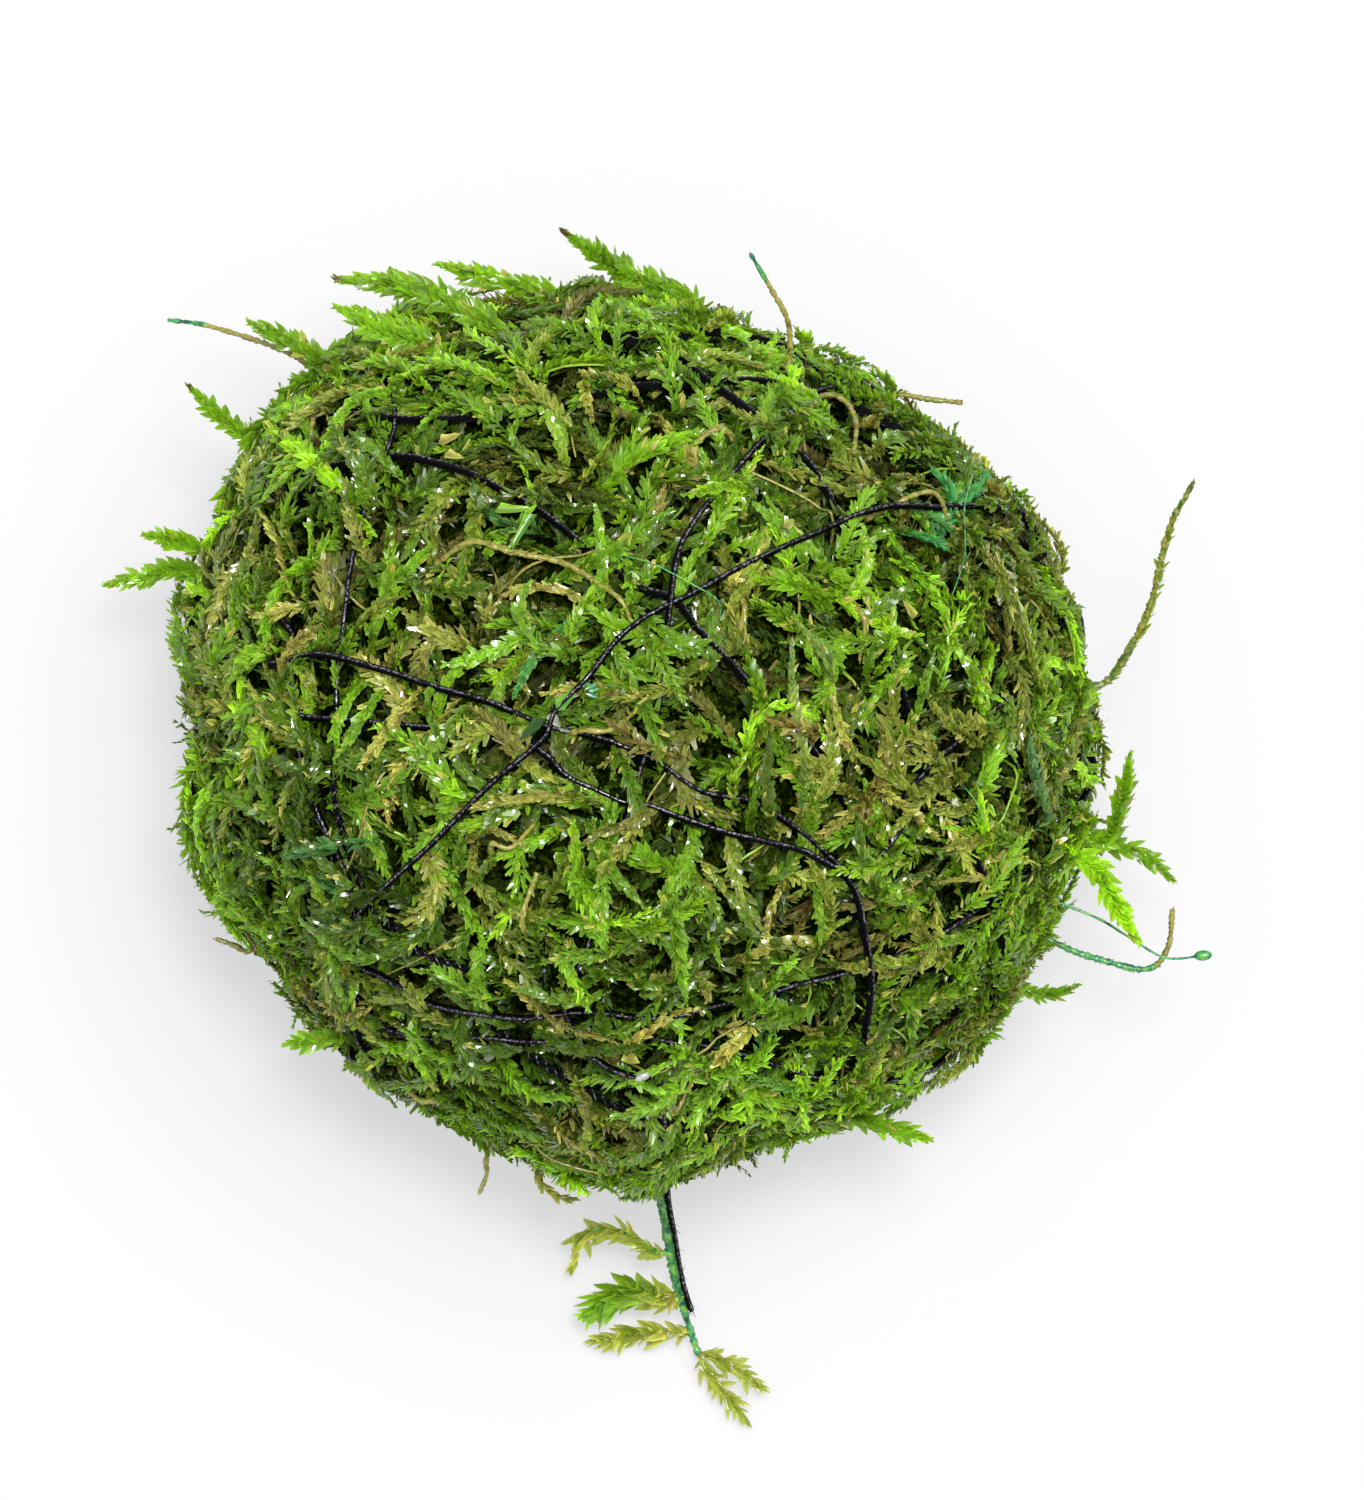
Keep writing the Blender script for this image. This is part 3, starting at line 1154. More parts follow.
# %% [markdown]
# ## Stems
#
# Under their leaves the shoots have round stems, about a third of a millimetre thick, and some old ones have lost
# their leaves and lie bare and golden on top. A curve with a round bevel makes a stem, and every point of it has a
# radius of its own, so that it can swell and taper. All stems of one kind go into one curve, which is then turned
# into a mesh.

# %% Stem meshes and finishes
STEM_KINDS = {
    "golden stem": ((0.34, (0.11, 0.09, 0.020)), (0.50, (0.29, 0.25, 0.045)), (0.64, (0.16, 0.20, 0.026))),
    "green stem": ((0.32, (0.09, 0.20, 0.010)), (0.50, (0.20, 0.36, 0.016)), (0.66, (0.30, 0.40, 0.040))),
    "dyed stem": ((0.36, (0.003, 0.045, 0.020)), (0.48, (0.014, 0.220, 0.070)), (0.60, (0.12, 0.36, 0.026))),
    "emerald stem": ((0.34, (0.010, 0.160, 0.018)), (0.50, (0.045, 0.360, 0.040)), (0.64, (0.30, 0.46, 0.060))),
    "greenish stem": ((0.34, (0.020, 0.060, 0.012)), (0.48, (0.080, 0.150, 0.022)), (0.62, (0.28, 0.27, 0.060))),
}


def stem_finish(name, stops):
    finish = Finish(name)
    knots = finish.clouds(1500.0, 3.0, 0.6)
    bump = finish.node("ShaderNodeBump", {}, {"Strength": 1.0, "Distance": 0.0001, "Height": knots}, out="Normal")
    finish.surface(Base_Color=finish.ramp(knots, stops), Roughness=0.5, Normal=bump,
                   Coat_Weight=finish.spread(knots, 0.4, 0.6, 0.2, 0.9), Coat_Roughness=0.15)
    return finish.material


stem_materials = {kind: stem_finish(kind, stops) for kind, stops in STEM_KINDS.items()}


def mesh_of_curve(curve):
    """The mesh that a curve makes, with the curve itself removed."""
    carrier = bpy.data.objects.new("carrier", curve)
    bpy.context.scene.collection.objects.link(carrier)
    graph = bpy.context.evaluated_depsgraph_get()
    mesh = bpy.data.meshes.new_from_object(carrier.evaluated_get(graph))
    bpy.data.objects.remove(carrier)
    return mesh


def stems_object(name, routes, kind, roundness=1):
    """Round stems as one mesh. A route is a list of a point and the stem's radius there, in millimetres."""
    curve = bpy.data.curves.new(name, "CURVE")
    curve.dimensions = "3D"
    curve.bevel_depth = MM
    curve.bevel_resolution = roundness
    curve.use_fill_caps = True
    for route in routes:
        spline = curve.splines.new("POLY")
        spline.points.add(len(route) - 1)
        for place, (point, radius) in zip(spline.points, route):
            place.co = (*(point * MM), 1.0)
            place.radius = radius
    mesh = mesh_of_curve(curve)
    mesh.materials.clear()
    mesh.materials.append(stem_materials[kind])
    mesh.shade_smooth()
    made = bpy.data.objects.new(name, mesh)
    bpy.context.scene.collection.objects.link(made)
    return made


def stem_route(framed, thickest, thinnest, knotty=0.2):
    """The route of a stem through a shoot's stations, with a little knot here and there."""
    route = []
    for place, _, out, share in framed:
        radius = (thickest + (thinnest - thickest) * share) * chance.uniform(1 - knotty, 1 + knotty)
        point = place - out * 0.05
        point.z = max(point.z, LOWEST_LEAF + radius)
        route.append((point, radius))
    return route


# %% Stems of the mat
BARE_STEMS = 70
BARE_RADIUS = (0.11, 0.07)

stem_routes = {"green": [], "golden": []}
for framed, look in mat_stems[::9]:
    kind = "golden" if look["age"] > 0.6 else "green"
    stem_routes[kind].append(stem_route(framed[::7], 0.14, 0.08))
for direction in spread_evenly(BARE_STEMS):
    start = (direction + Vector([chance.gauss(0, 0.09) for _ in range(3)])).normalized()
    heading = Matrix.Rotation(chance.gauss(0, 0.9), 3, start) @ swirl(start, 1)
    height = chance.uniform(0.3, 1.0)
    stations = lay_shoot(start, heading, chance.uniform(4.0, 13.0), chance.gauss(0, 0.12),
                         lambda share: height - 2.2 * (2 * share - 1) ** 4, True)
    stem_routes["golden" if chance.random() < 0.75 else "green"].append(
        stem_route(with_frames(stations)[::5], *BARE_RADIUS))
for kind, routes in stem_routes.items():
    piece = stems_object("mat_stems_" + kind, routes, kind + " stem", roundness=0)
    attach(piece, "root")
    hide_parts("moss_ball")
    print(piece.name, "stems:", len(routes), "faces:", len(piece.data.polygons))

# %% [markdown]
# ## The twisted thread
#
# Cotton thread is two plies twisted together, so its outline is a figure of eight that turns as it goes. A curve
# with that outline as its bevel, and a tilt that grows along it, makes the twist without any work on single points.
# The mesh comes ring by ring, so its UV map is simple: the thread is cut into equal lengths, laid in rows.

# %% Thread
PLY_RADIUS = 0.165
PLY_OFFSET = 0.145
PLY_ANGLES = (-75.0, 0.0, 75.0)
WAIST = 0.03
TWIST_PITCH = 1.6
TWIST_STEP = 0.2
PLAIN_STEPS = 5
THREAD_SINKS = 0.25
COVERED_SINKS = 0.45
LEANS_AFTER = 8
TAIL_LEANS = Vector((-0.58, 0.0, -0.05))
UV_ROWS = 42


def resampled(points, step, pieces=5):
    """Points an equal step apart along a smooth curve through the given ones."""
    fine = np.array(smooth_route(points, pieces))
    walked = np.concatenate([[0.0], np.cumsum(np.linalg.norm(np.diff(fine, axis=0), axis=1))])
    marks = np.linspace(0.0, walked[-1], max(3, round(walked[-1] / step)))
    return [Vector([np.interp(mark, walked, fine[:, axis]) for axis in range(3)]) for mark in marks]


def two_plies():
    """The thread's outline: two round plies that touch, with a waist between them."""
    right = [(PLY_OFFSET + PLY_RADIUS * math.cos(math.radians(angle)), PLY_RADIUS * math.sin(math.radians(angle)))
             for angle in PLY_ANGLES]
    left = [(-x, -y) for x, y in right]
    return [*right, (0.0, WAIST), *left, (0.0, -WAIST)]


outline_points = two_plies()
outline_curve = bpy.data.curves.new("thread outline", "CURVE")
outline_curve.dimensions = "2D"
ring = outline_curve.splines.new("POLY")
ring.points.add(len(outline_points) - 1)
for place, (x, y) in zip(ring.points, outline_points):
    place.co = (x * MM, y * MM, 0.0, 1.0)
ring.use_cyclic_u = True
outline_object = bpy.data.objects.new("thread outline", outline_curve)
bpy.context.scene.collection.objects.link(outline_object)

sinks = [THREAD_SINKS + COVERED_SINKS * (1 - share) for share in thread_open]
leans = [min(1.0, max(0, index - len(wound)) / LEANS_AFTER) for index in range(len(thread_line))]
sunk = [point - direction_of(point) * (down * (1 - lean)) + TAIL_LEANS * lean
        for point, down, lean in zip(thread_line, sinks, leans)]
thread_fine = resampled(sunk, TWIST_STEP)
open_fine = np.interp(np.linspace(0, 1, len(thread_fine)), np.linspace(0, 1, len(thread_open)), thread_open)
kept = [index for index in range(len(thread_fine)) if index % PLAIN_STEPS == 0 or open_fine[index] > 0.2]
thread_curve = bpy.data.curves.new("binding thread", "CURVE")
thread_curve.dimensions = "3D"
thread_curve.bevel_mode = "OBJECT"
thread_curve.bevel_object = outline_object
spline = thread_curve.splines.new("POLY")
spline.points.add(len(kept) - 1)
for place, index in zip(spline.points, kept):
    place.co = (*(thread_fine[index] * MM), 1.0)
    place.tilt = math.tau * index * TWIST_STEP / TWIST_PITCH
thread_mesh = mesh_of_curve(thread_curve)
bpy.data.objects.remove(outline_object)

thread_finish = Finish("damp black cotton")
fluff = thread_finish.clouds(5200.0, 3.0, 0.6)
on_ridge = thread_finish.attribute("ridge") * fluff
thread_tint = thread_finish.ramp(on_ridge, ((0.28, (0.001, 0.001, 0.0014)), (0.44, (0.005, 0.0045, 0.007)),
                                            (0.57, (0.160, 0.145, 0.185))))
thread_bump = thread_finish.node("ShaderNodeBump", {}, {"Strength": 1.0, "Distance": 0.00012, "Height": fluff},
                                 out="Normal")
thread_finish.surface(Base_Color=thread_tint, Roughness=0.6, Specular_IOR_Level=0.08, Normal=thread_bump,
                      Coat_Weight=thread_finish.spread(on_ridge, 0.45, 0.58, 0.0, 1.0), Coat_Roughness=0.2)

corners = np.zeros(len(thread_mesh.loops), int)
thread_mesh.loops.foreach_get("vertex_index", corners)
corners = corners.reshape(-1, 4)
sides = len(outline_points)
rings, spots = corners // sides, corners % sides
in_row = math.ceil(len(kept) / UV_ROWS)
first_ring = rings.min(axis=1)[:, None]
wraps = (spots.max(axis=1) - spots.min(axis=1) > 1)[:, None]
around = spots + np.where(wraps & (spots == 0), sides, 0)
uv = np.stack([(first_ring % in_row + rings - first_ring) / in_row * 0.99,
               (first_ring // in_row + 0.05 + around / sides * 0.9) / UV_ROWS], axis=2)
thread_mesh.uv_layers.new(name=BAKE_MAP).data.foreach_set("uv", uv.reshape(-1).astype(np.float32))
ridges = np.array([abs(x) for x, _ in outline_points]) / (PLY_OFFSET + PLY_RADIUS)
add_numbers(thread_mesh, "ridge", np.tile(ridges, len(kept)))
thread_mesh.materials.clear()
thread_mesh.materials.append(thread_finish.material)
thread_mesh.shade_smooth()
binding_thread = bpy.data.objects.new("black_thread", thread_mesh)
bpy.context.scene.collection.objects.link(binding_thread)
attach(binding_thread, "root")
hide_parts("binding_thread")
print("thread faces:", len(thread_mesh.polygons), "rings:", len(kept))

# %% [markdown]
# ## Fluff of the thread
#
# Cotton is spun from short fibres, and their ends stand off the thread. Each is so thin that a narrow folded strip
# does for it, and that is what the leaf of four corners becomes when it is made a dozen times as long as wide.

# %% Fluff
FLUFF_COUNT = 7000

fluff_rows = []
for _ in range(FLUFF_COUNT):
    index = chance.randrange(1, len(sunk))
    place = sunk[index - 1].lerp(sunk[index], chance.random())
    along = (sunk[index] - sunk[index - 1]).normalized()
    away = level_with(along, Vector([chance.gauss(0, 1) for _ in range(3)]))
    axis = (away + along * chance.choice((-1, 1)) * chance.uniform(0.8, 3.0)).normalized()
    length = chance.uniform(0.3, 0.9)
    fluff_rows.append((*(place + away * 0.1), *axis, *level_with(axis, along), length, 0.2, length * 0.05,
                       length * chance.uniform(-0.4, 0.4), 0.0, 0.0, 1.0, 0.0))
fluff_columns = as_columns(fluff_rows)
fluff_piece = leaves_object("thread_fluff", fluff_columns, grown_leaves(fluff_columns, deep_leaf), deep_leaf,
                            thread_finish.material)
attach(fluff_piece, "root")
print("fluff triangles:", len(fluff_piece.data.polygons))

# %% [markdown]
# ## Shoots that lie on top
#
# Some shoots on top of the ball catch the eye, and so they are laid by hand: lime tips, pale and golden shoots, a few
# with the blue-green stain of the pond dye. Each is a short line seen from above, from its root to its tip. It starts
# in the mat, lies on it and climbs over covered thread in its way. These use the fine leaf.

# %% Looks of single shoots
GOLDEN = (("golden stem", 0.0, 1.0),)
DYED = (("dyed stem", 0.0, 1.0),)
EMERALD = (("emerald stem", 0.0, 1.0),)
DYED_TIP = (("golden stem", 0.0, 0.8), ("dyed stem", 0.78, 1.0))
DYED_ROOT = (("dyed stem", 0.0, 0.7), ("golden stem", 0.68, 1.0))
CLASPING = {"leafiness": 1.0, "spread": 1.04, "plump": 1.7, "hook": 0.35}
BARE = {"leafiness": 0.5, "spread": 0.40, "plump": 0.9, "hook": 0.2, "stem_radius": 0.21, "knotty": 0.3}
SCALY = {"leafiness": 0.75, "spread": 0.62, "plump": 1.1, "hook": 0.3, "stem_radius": 0.24, "knotty": 0.45}
LOOKS = {
    "lime": look_of(0.10, 1.55, tip_age=-0.06, **CLASPING),
    "bright": look_of(0.26, 1.2, tip_age=-0.10, **CLASPING),
    "dark tip": look_of(0.28, 1.0, tip_age=-0.12, dark_tip=True, **CLASPING),
    "green": look_of(0.38, 1.05, tip_age=-0.12, **CLASPING),
    "feathery": look_of(0.16, 1.05, tip_age=-0.06, leafiness=1.0, spread=0.95, plump=1.4),
    "pale": look_of(0.70, 1.3, tip_age=-0.05, spread=0.95, plump=1.7, stem=GOLDEN),
    "thin": look_of(0.70, 1.9, tip_age=-0.04, leafiness=0.8, spread=1.0, plump=1.3, leaves="thin", stem=GOLDEN),
    "thin, dyed": look_of(0.70, 2.2, tip_age=0.0, spread=1.1, plump=1.3, leafiness=0.55, leaves="thin", stem=EMERALD,
                          stem_radius=0.24),
    "golden": look_of(0.82, 1.05, tip_age=-0.04, spread=0.7, plump=1.3, stem=GOLDEN),
    "golden green": look_of(0.80, 1.6, tip_age=-0.60, spread=1.15, plump=1.6, leafiness=0.85, stem=GOLDEN),
    "golden thin": look_of(0.74, 1.9, tip_age=-0.12, spread=1.1, plump=1.5, leafiness=0.7, leaves="thin", stem=GOLDEN),
    "olive": look_of(0.64, 1.1, tip_age=0.06, spread=0.7, plump=1.5, stem=GOLDEN),
    "teal": look_of(0.20, 1.15, dyed=0.75, spread=0.8, plump=1.7, stem=DYED),
    "yellow teal": look_of(0.72, 1.2, dyed=0.22, spread=0.6, plump=1.6, stem=DYED),
    "rough": look_of(0.78, 1.1, stem=GOLDEN, **{**BARE, "leafiness": 0.8}),
    "bare": look_of(0.74, 1.0, stem=GOLDEN, **BARE),
    "scaly": look_of(0.66, 1.25, tip_age=-0.06, **SCALY,
                     stem=(("greenish stem", 0.0, 0.32), ("golden stem", 0.30, 0.86), ("greenish stem", 0.84, 1.0))),
    "bare, dyed tip": look_of(0.74, 1.0, stem=DYED_TIP, **BARE),
    "bare, dyed root": look_of(0.50, 1.0, dyed=0.6, stem=DYED_ROOT, **{**BARE, "stem_radius": 0.25}),
    "trailing": look_of(0.30, 0.9, dyed=0.55, stem=DYED,
                        **{**BARE, "leafiness": 1.0, "plump": 1.4, "stem_radius": 0.34, "knotty": 0.3}),
    "filament": look_of(0.30, 1.0, stem=DYED, leafiness=0.0, stem_radius=0.055),
    "knobbed": look_of(0.30, 1.0, stem=DYED, leafiness=0.0, stem_radius=0.10),
}

# %% Shoots on top
TOP_SHOOTS = (
    ("lime", 1.08, ((-17.2, 14.4), (-20.0, 16.9), (-23.1, 19.3))),
    ("lime", 0.86, ((-22.6, -3.4), (-23.6, 0.0), (-24.8, 4.0))),
    ("bright", 0.94, ((-19.5, 12.0), (-21.6, 9.0), (-22.9, 4.6))),
    ("lime", 0.90, ((21.4, -9.6), (21.9, -6.8), (22.1, -4.2))),
    ("bright", 1.05, ((13.4, 7.2), (11.0, 8.7), (8.2, 9.2))),
    ("bright", 0.97, ((3.8, -9.4), (1.9, -8.5), (0.0, -7.2))),
    ("pale", 0.94, ((-8.6, 21.2), (-5.4, 24.0), (-1.5, 26.6))),
    ("golden", 0.81, ((-1.5, -4.6), (-6.2, -4.4), (-10.8, -5.2))),
    ("yellow teal", 0.86, ((13.3, 1.3), (12.5, 4.0), (10.8, 6.3))),
    ("yellow teal", 0.90, ((11.4, -6.6), (11.0, -2.0), (10.4, 1.6), (10.2, 5.3))),
    ("olive", 0.94, ((26.8, -2.8), (25.4, 4.2), (23.2, 11.1))),
    ("teal", 0.95, ((21.0, 12.8), (20.4, 14.6), (19.2, 16.4))),
    ("teal", 0.85, ((20.6, 13.0), (21.6, 14.8), (22.8, 16.2))),
    ("teal", 0.70, ((17.6, 13.2), (18.8, 11.8), (20.0, 11.2))),
    ("bright", 1.05, ((5.6, -22.6), (9.0, -23.4), (12.4, -22.8))),
    ("green", 0.97, ((-5.6, 9.6), (-1.6, 10.6), (2.6, 13.4))),
    ("bright", 0.97, ((-2.0, 15.6), (1.0, 17.2), (4.4, 18.4))),
    ("green", 0.97, ((-1.2, 2.6), (1.6, 4.4), (5.0, 5.4))),
    ("bright", 1.01, ((-4.8, -8.4), (-2.2, -10.4), (-1.4, -14.0))),
    ("golden", 0.64, ((-11.2, -7.8), (-8.6, -6.4), (-6.4, -7.4))),
    ("pale", 0.81, ((13.2, -14.2), (12.6, -10.8), (11.4, -8.2))),
    ("olive", 0.81, ((19.4, -7.2), (17.2, -3.8), (14.2, -1.6))),
    ("golden", 0.75, ((-12.8, 20.2), (-16.2, 21.4), (-20.2, 19.8))),
    ("lime", 0.81, ((26.2, 12.0), (27.6, 7.4), (28.8, 2.2))),
    ("bright", 0.97, ((-9.6, -20.2), (-6.4, -22.6), (-3.2, -23.2))),
    ("golden green", 0.81, ((-26.2, 8.8), (-27.6, 5.2), (-28.4, 1.6))),
    ("green", 0.90, ((16.6, -18.4), (19.8, -16.4), (22.4, -13.2))),
    ("yellow teal", 0.45, ((-7.4, 13.6), (-6.6, 12.4), (-7.6, 11.2))),
    ("pale", 0.79, ((1.6, 22.2), (4.8, 23.4), (8.6, 22.8))),
    ("green", 0.94, ((7.6, 12.2), (5.4, 14.4), (4.6, 17.0))),
    ("golden", 0.67, ((24.6, -11.4), (22.2, -9.4), (19.2, -9.8))),
    ("bright", 1.10, ((-27.8, -0.6), (-28.9, -3.2), (-29.3, -6.0))),
    ("green", 1.10, ((-27.6, -3.8), (-28.6, -6.2), (-28.2, -8.8))),
    ("bright", 0.95, ((-26.4, -8.6), (-26.0, -11.4), (-24.4, -14.0))),
    ("lime", 0.85, ((-24.6, 15.4), (-26.2, 12.8), (-27.6, 9.4))),
    ("green", 1.25, ((-22.0, 22.4), (-24.6, 20.6), (-26.4, 18.2))),
    ("green", 1.20, ((-19.4, 24.0), (-22.2, 23.4), (-24.4, 22.0))),
    ("bright", 1.15, ((-24.4, 17.4), (-26.4, 16.2), (-27.8, 14.2))),
    ("bright", 1.15, ((-17.8, 25.2), (-20.4, 25.2), (-22.6, 24.4))),
)
TOP_RISE = 1.0
ROOT_DEPTH = -0.8
FINE_PIECES = 24
FINE_GAP = 0.17


def stations_over(plan, rise):
    """The stations of a shoot on top of the mat, along a line seen from above."""
    line = [on_ball(over_plan(x, y), rise) for x, y in plan]
    line[0] = on_ball(over_plan(*plan[0]), ROOT_DEPTH)
    fine = resampled(line, FINE_GAP, FINE_PIECES)
    stations = []
    for index, place in enumerate(fine):
        out = direction_of(place)
        stations.append((climbed(place, out), out, index / (len(fine) - 1)))
    return stations


def leafy_parts(name, framed, look_name, leaf):
    """The leaves and the stem of one shoot, as a list of objects."""
    look = {**LOOKS[look_name], "leaf": leaf}
    parts = []
    leaves = leaf_rows(framed, look, chance)
    if leaves:
        rows = as_columns(leaves)
        parts.append(leaves_object(name, rows, grown_leaves(rows, fine_leaf), fine_leaf,
                                   single_leaves[look["leaves"]], big=False))
    for kind, start, end in look["stem"]:
        stretch = [station for station in framed if start <= station[3] <= end]
        route = stem_route(stretch, look["stem_radius"], look["stem_radius"] * 0.7, look["knotty"])
        parts.append(stems_object(name + "_stem", [route], kind))
    return parts


def joined(name, parts):
    """Several objects as one piece."""
    with bpy.context.temp_override(active_object=parts[0], selected_editable_objects=parts):
        bpy.ops.object.join()
    parts[0].name = name
    parts[0].data.name = name
    return parts[0]


top_parts = []
for number, (look_name, leaf, plan) in enumerate(TOP_SHOOTS):
    framed = with_frames(stations_over(plan, TOP_RISE))
    top_parts += leafy_parts("top" + str(number), framed, look_name, leaf)
top_piece = joined("shoots_on_top", top_parts)
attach(top_piece, "root")
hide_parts("moss_ball")
print("shoots on top:", len(TOP_SHOOTS), "faces:", len(top_piece.data.polygons))

# %% Old and dyed stems on top
TOP_STEMS = {
    "old_stems_on_top": ("old_stem", (
        ("rough", 0.60, 1.1, ((-12.5, 10.8), (-9.8, 11.6), (-7.2, 11.0), (-4.2, 10.4), (-1.9, 9.1), (-0.2, 7.6),
                              (0.5, 5.4))),
        ("bare", 0.45, 1.8, ((15.6, 13.7), (18.6, 14.5), (21.6, 13.0))),
        ("rough", 0.50, 1.3, ((11.0, 17.6), (11.6, 20.4), (13.4, 20.9), (14.4, 19.2), (14.7, 16.8))),
        ("rough", 0.60, 1.2, ((3.6, 18.0), (5.6, 18.5), (7.8, 17.9))),
        ("bare", 0.45, 1.3, ((-15.4, -22.6), (-13.2, -23.5), (-10.7, -24.5))),
        ("bare", 0.40, 1.4, ((-8.9, -9.0), (-8.4, -7.2), (-7.2, -7.4), (-6.2, -6.4))),
        ("bare", 0.40, 1.6, ((-4.8, -0.5), (-2.6, -0.2), (-0.9, -0.1), (1.2, 1.7))),
        ("rough", 0.60, 1.2, ((6.8, 9.4), (7.2, 7.4), (7.1, 5.4))),
        ("rough", 0.60, 1.2, ((13.6, 9.0), (14.6, 6.8), (15.2, 4.4))),
        ("rough", 0.70, 1.2, ((-6.0, -9.6), (-6.5, -11.6), (-6.6, -13.8))),
        ("bare", 0.45, 1.2, ((2.4, -22.6), (2.8, -24.2), (4.2, -23.4))),
        ("rough", 0.70, 1.2, ((-21.4, 17.8), (-19.4, 20.2), (-17.8, 23.6))),
    )),
    "dyed_stems_on_top": ("dyed_stem", (
        ("filament", 0.0, 2.6, ((-2.8, 11.6), (0.8, 9.9), (4.0, 8.3), (5.4, 7.2), (5.7, 5.4))),
        ("filament", 0.0, 1.7, ((22.4, 16.2), (21.2, 15.6), (20.8, 13.6), (20.6, 10.4), (20.9, 7.6))),
        ("filament", 0.0, 1.7, ((20.8, -2.4), (21.6, -5.2), (21.2, -8.2))),
    )),
}
TUCKED_ENDS = -0.5


def tucked_stations(plan, rise):
    """The stations of a stem on top of the mat that has both its ends tucked in."""
    heights = [TUCKED_ENDS, *[rise] * (len(plan) - 2), TUCKED_ENDS]
    line = [on_ball(over_plan(x, y), height) for (x, y), height in zip(plan, heights)]
    fine = resampled(line, FINE_GAP, FINE_PIECES)
    return [(place, direction_of(place), index / (len(fine) - 1)) for index, place in enumerate(fine)]


for name, (slot, stems) in TOP_STEMS.items():
    parts = []
    for number, (look_name, leaf, rise, plan) in enumerate(stems):
        parts += leafy_parts(name + str(number), with_frames(tucked_stations(plan, rise)), look_name, leaf)
    piece = joined(name, parts)
    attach(piece, "root")
    print(piece.name, "stems:", len(stems), "faces:", len(piece.data.polygons))

# %% [markdown]
# ## Odd bits caught in the moss
#
# A few torn bits lie on top and catch the eye: a curled leaf with blue-green dye, a bent scrap of a lime leaf, dry
# flakes, and one small grey seed with a shine. The flakes are single leaves of the fine sort, made large, each with
# a place and a heading seen from above.

# %% Torn leaves, flakes and a seed
TORN_LEAVES = (
    (-4.4, 1.0, 40.0, 2.2, 1.05, 0.40, 0.10, 1.3, 0.50), (-5.0, 0.6, 212.0, 2.4, 0.85, 0.20, 0.46, 0.40, 0.35),
    (-2.6, 2.3, 20.0, 0.9, 1.20, 0.10, 0.30, 1.2, 0.80), (-2.5, 2.1, -30.0, 0.8, 1.20, 0.10, 0.30, 1.0, 0.90),
    (-2.7, 2.4, 70.0, 0.8, 1.20, 0.10, 0.30, 1.1, 0.80), (-2.4, 2.2, 5.0, 0.7, 1.40, 0.10, 0.20, 1.3, 0.85),
    (-8.3, 13.3, -5.0, 2.6, 0.80, 0.20, 0.10, 1.1, 0.10), (-5.6, 13.2, -128.0, 2.9, 0.70, 0.20, 0.16, 1.0, 0.30),
    (-6.4, 13.0, 48.0, 1.2, 1.00, 0.12, 0.05, 1.4, 0.10), (0.1, -20.8, 82.0, 1.5, 2.20, 0.10, 0.80, 1.3, 0.00),
    (2.6, -23.0, -84.0, 2.6, 0.70, 0.10, 0.76, 1.2, 0.05), (-11.8, 17.6, 10.0, 1.6, 1.60, 0.15, 0.84, 1.2, 0.00),
    (-11.4, 17.0, -35.0, 1.4, 1.40, 0.15, 0.82, 1.3, 0.00), (-18.6, -11.8, -40.0, 1.5, 1.50, 0.10, 0.84, 1.2, 0.00),
    (17.4, 6.6, 100.0, 1.4, 1.50, 0.10, 0.80, 1.2, 0.00), (9.6, 12.4, 30.0, 1.2, 1.60, 0.10, 0.84, 1.1, 0.00),
)
PALE_FLAKES = ((-4.7, 0.9, -75.0, 1.1, 1.90, 0.10), (-4.2, -0.1, -20.0, 0.8, 0.90, 0.20),
               (-9.0, -20.6, 30.0, 1.0, 1.30, 0.10), (5.0, -12.4, 60.0, 0.9, 1.30, 0.10))
TORN_RISE = 1.45
SEED_PLACE = (0.9, -21.6)
SEED_SIZE = (0.60, 0.32, 0.26)
SEED_HEADING = 25.0


def torn_row(x, y, heading, length, width, cup, age=0.0, tone=1.0, dyed=0.0):
    """The numbers of one torn leaf on top of the mat."""
    place = on_ball(over_plan(x, y), TORN_RISE)
    out = direction_of(place)
    turn = math.radians(heading)
    axis = level_with(out, Vector((math.cos(turn), math.sin(turn), 0.0)))
    return (*place, *axis, *out, length, width, length * cup, -0.15 * length, 0.15, age, tone, dyed)


flake_finish = stem_finish("dry flake", ((0.36, (0.05, 0.07, 0.04)), (0.62, (0.20, 0.22, 0.16))))
torn_parts = []
for name, listed, material in (("torn_leaves", TORN_LEAVES, single_leaves["fresh"]),
                               ("pale_flakes", PALE_FLAKES, flake_finish)):
    rows = as_columns([torn_row(*row) for row in listed])
    torn_parts.append(leaves_object(name, rows, grown_leaves(rows, fine_leaf), fine_leaf, material, big=False))
torn_piece = joined("torn_leaves", torn_parts)
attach(torn_piece, "root")

seed_place = on_ball(over_plan(*SEED_PLACE), TORN_RISE)
bm = bmesh.new()
bmesh.ops.create_icosphere(bm, subdivisions=3, radius=1.0)
bmesh.ops.scale(bm, vec=SEED_SIZE, verts=bm.verts)
bmesh.ops.rotate(bm, matrix=Matrix.Rotation(math.radians(SEED_HEADING), 3, "Z"), verts=bm.verts)
bmesh.ops.translate(bm, vec=seed_place, verts=bm.verts)
seed_finish = stem_finish("grey seed", ((0.36, (0.16, 0.17, 0.16)), (0.62, (0.34, 0.35, 0.34))))
seed = finished_object("grey_seed", bm, seed_finish)
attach(seed, "root")
print("torn leaves and flakes:", len(TORN_LEAVES) + len(PALE_FLAKES))

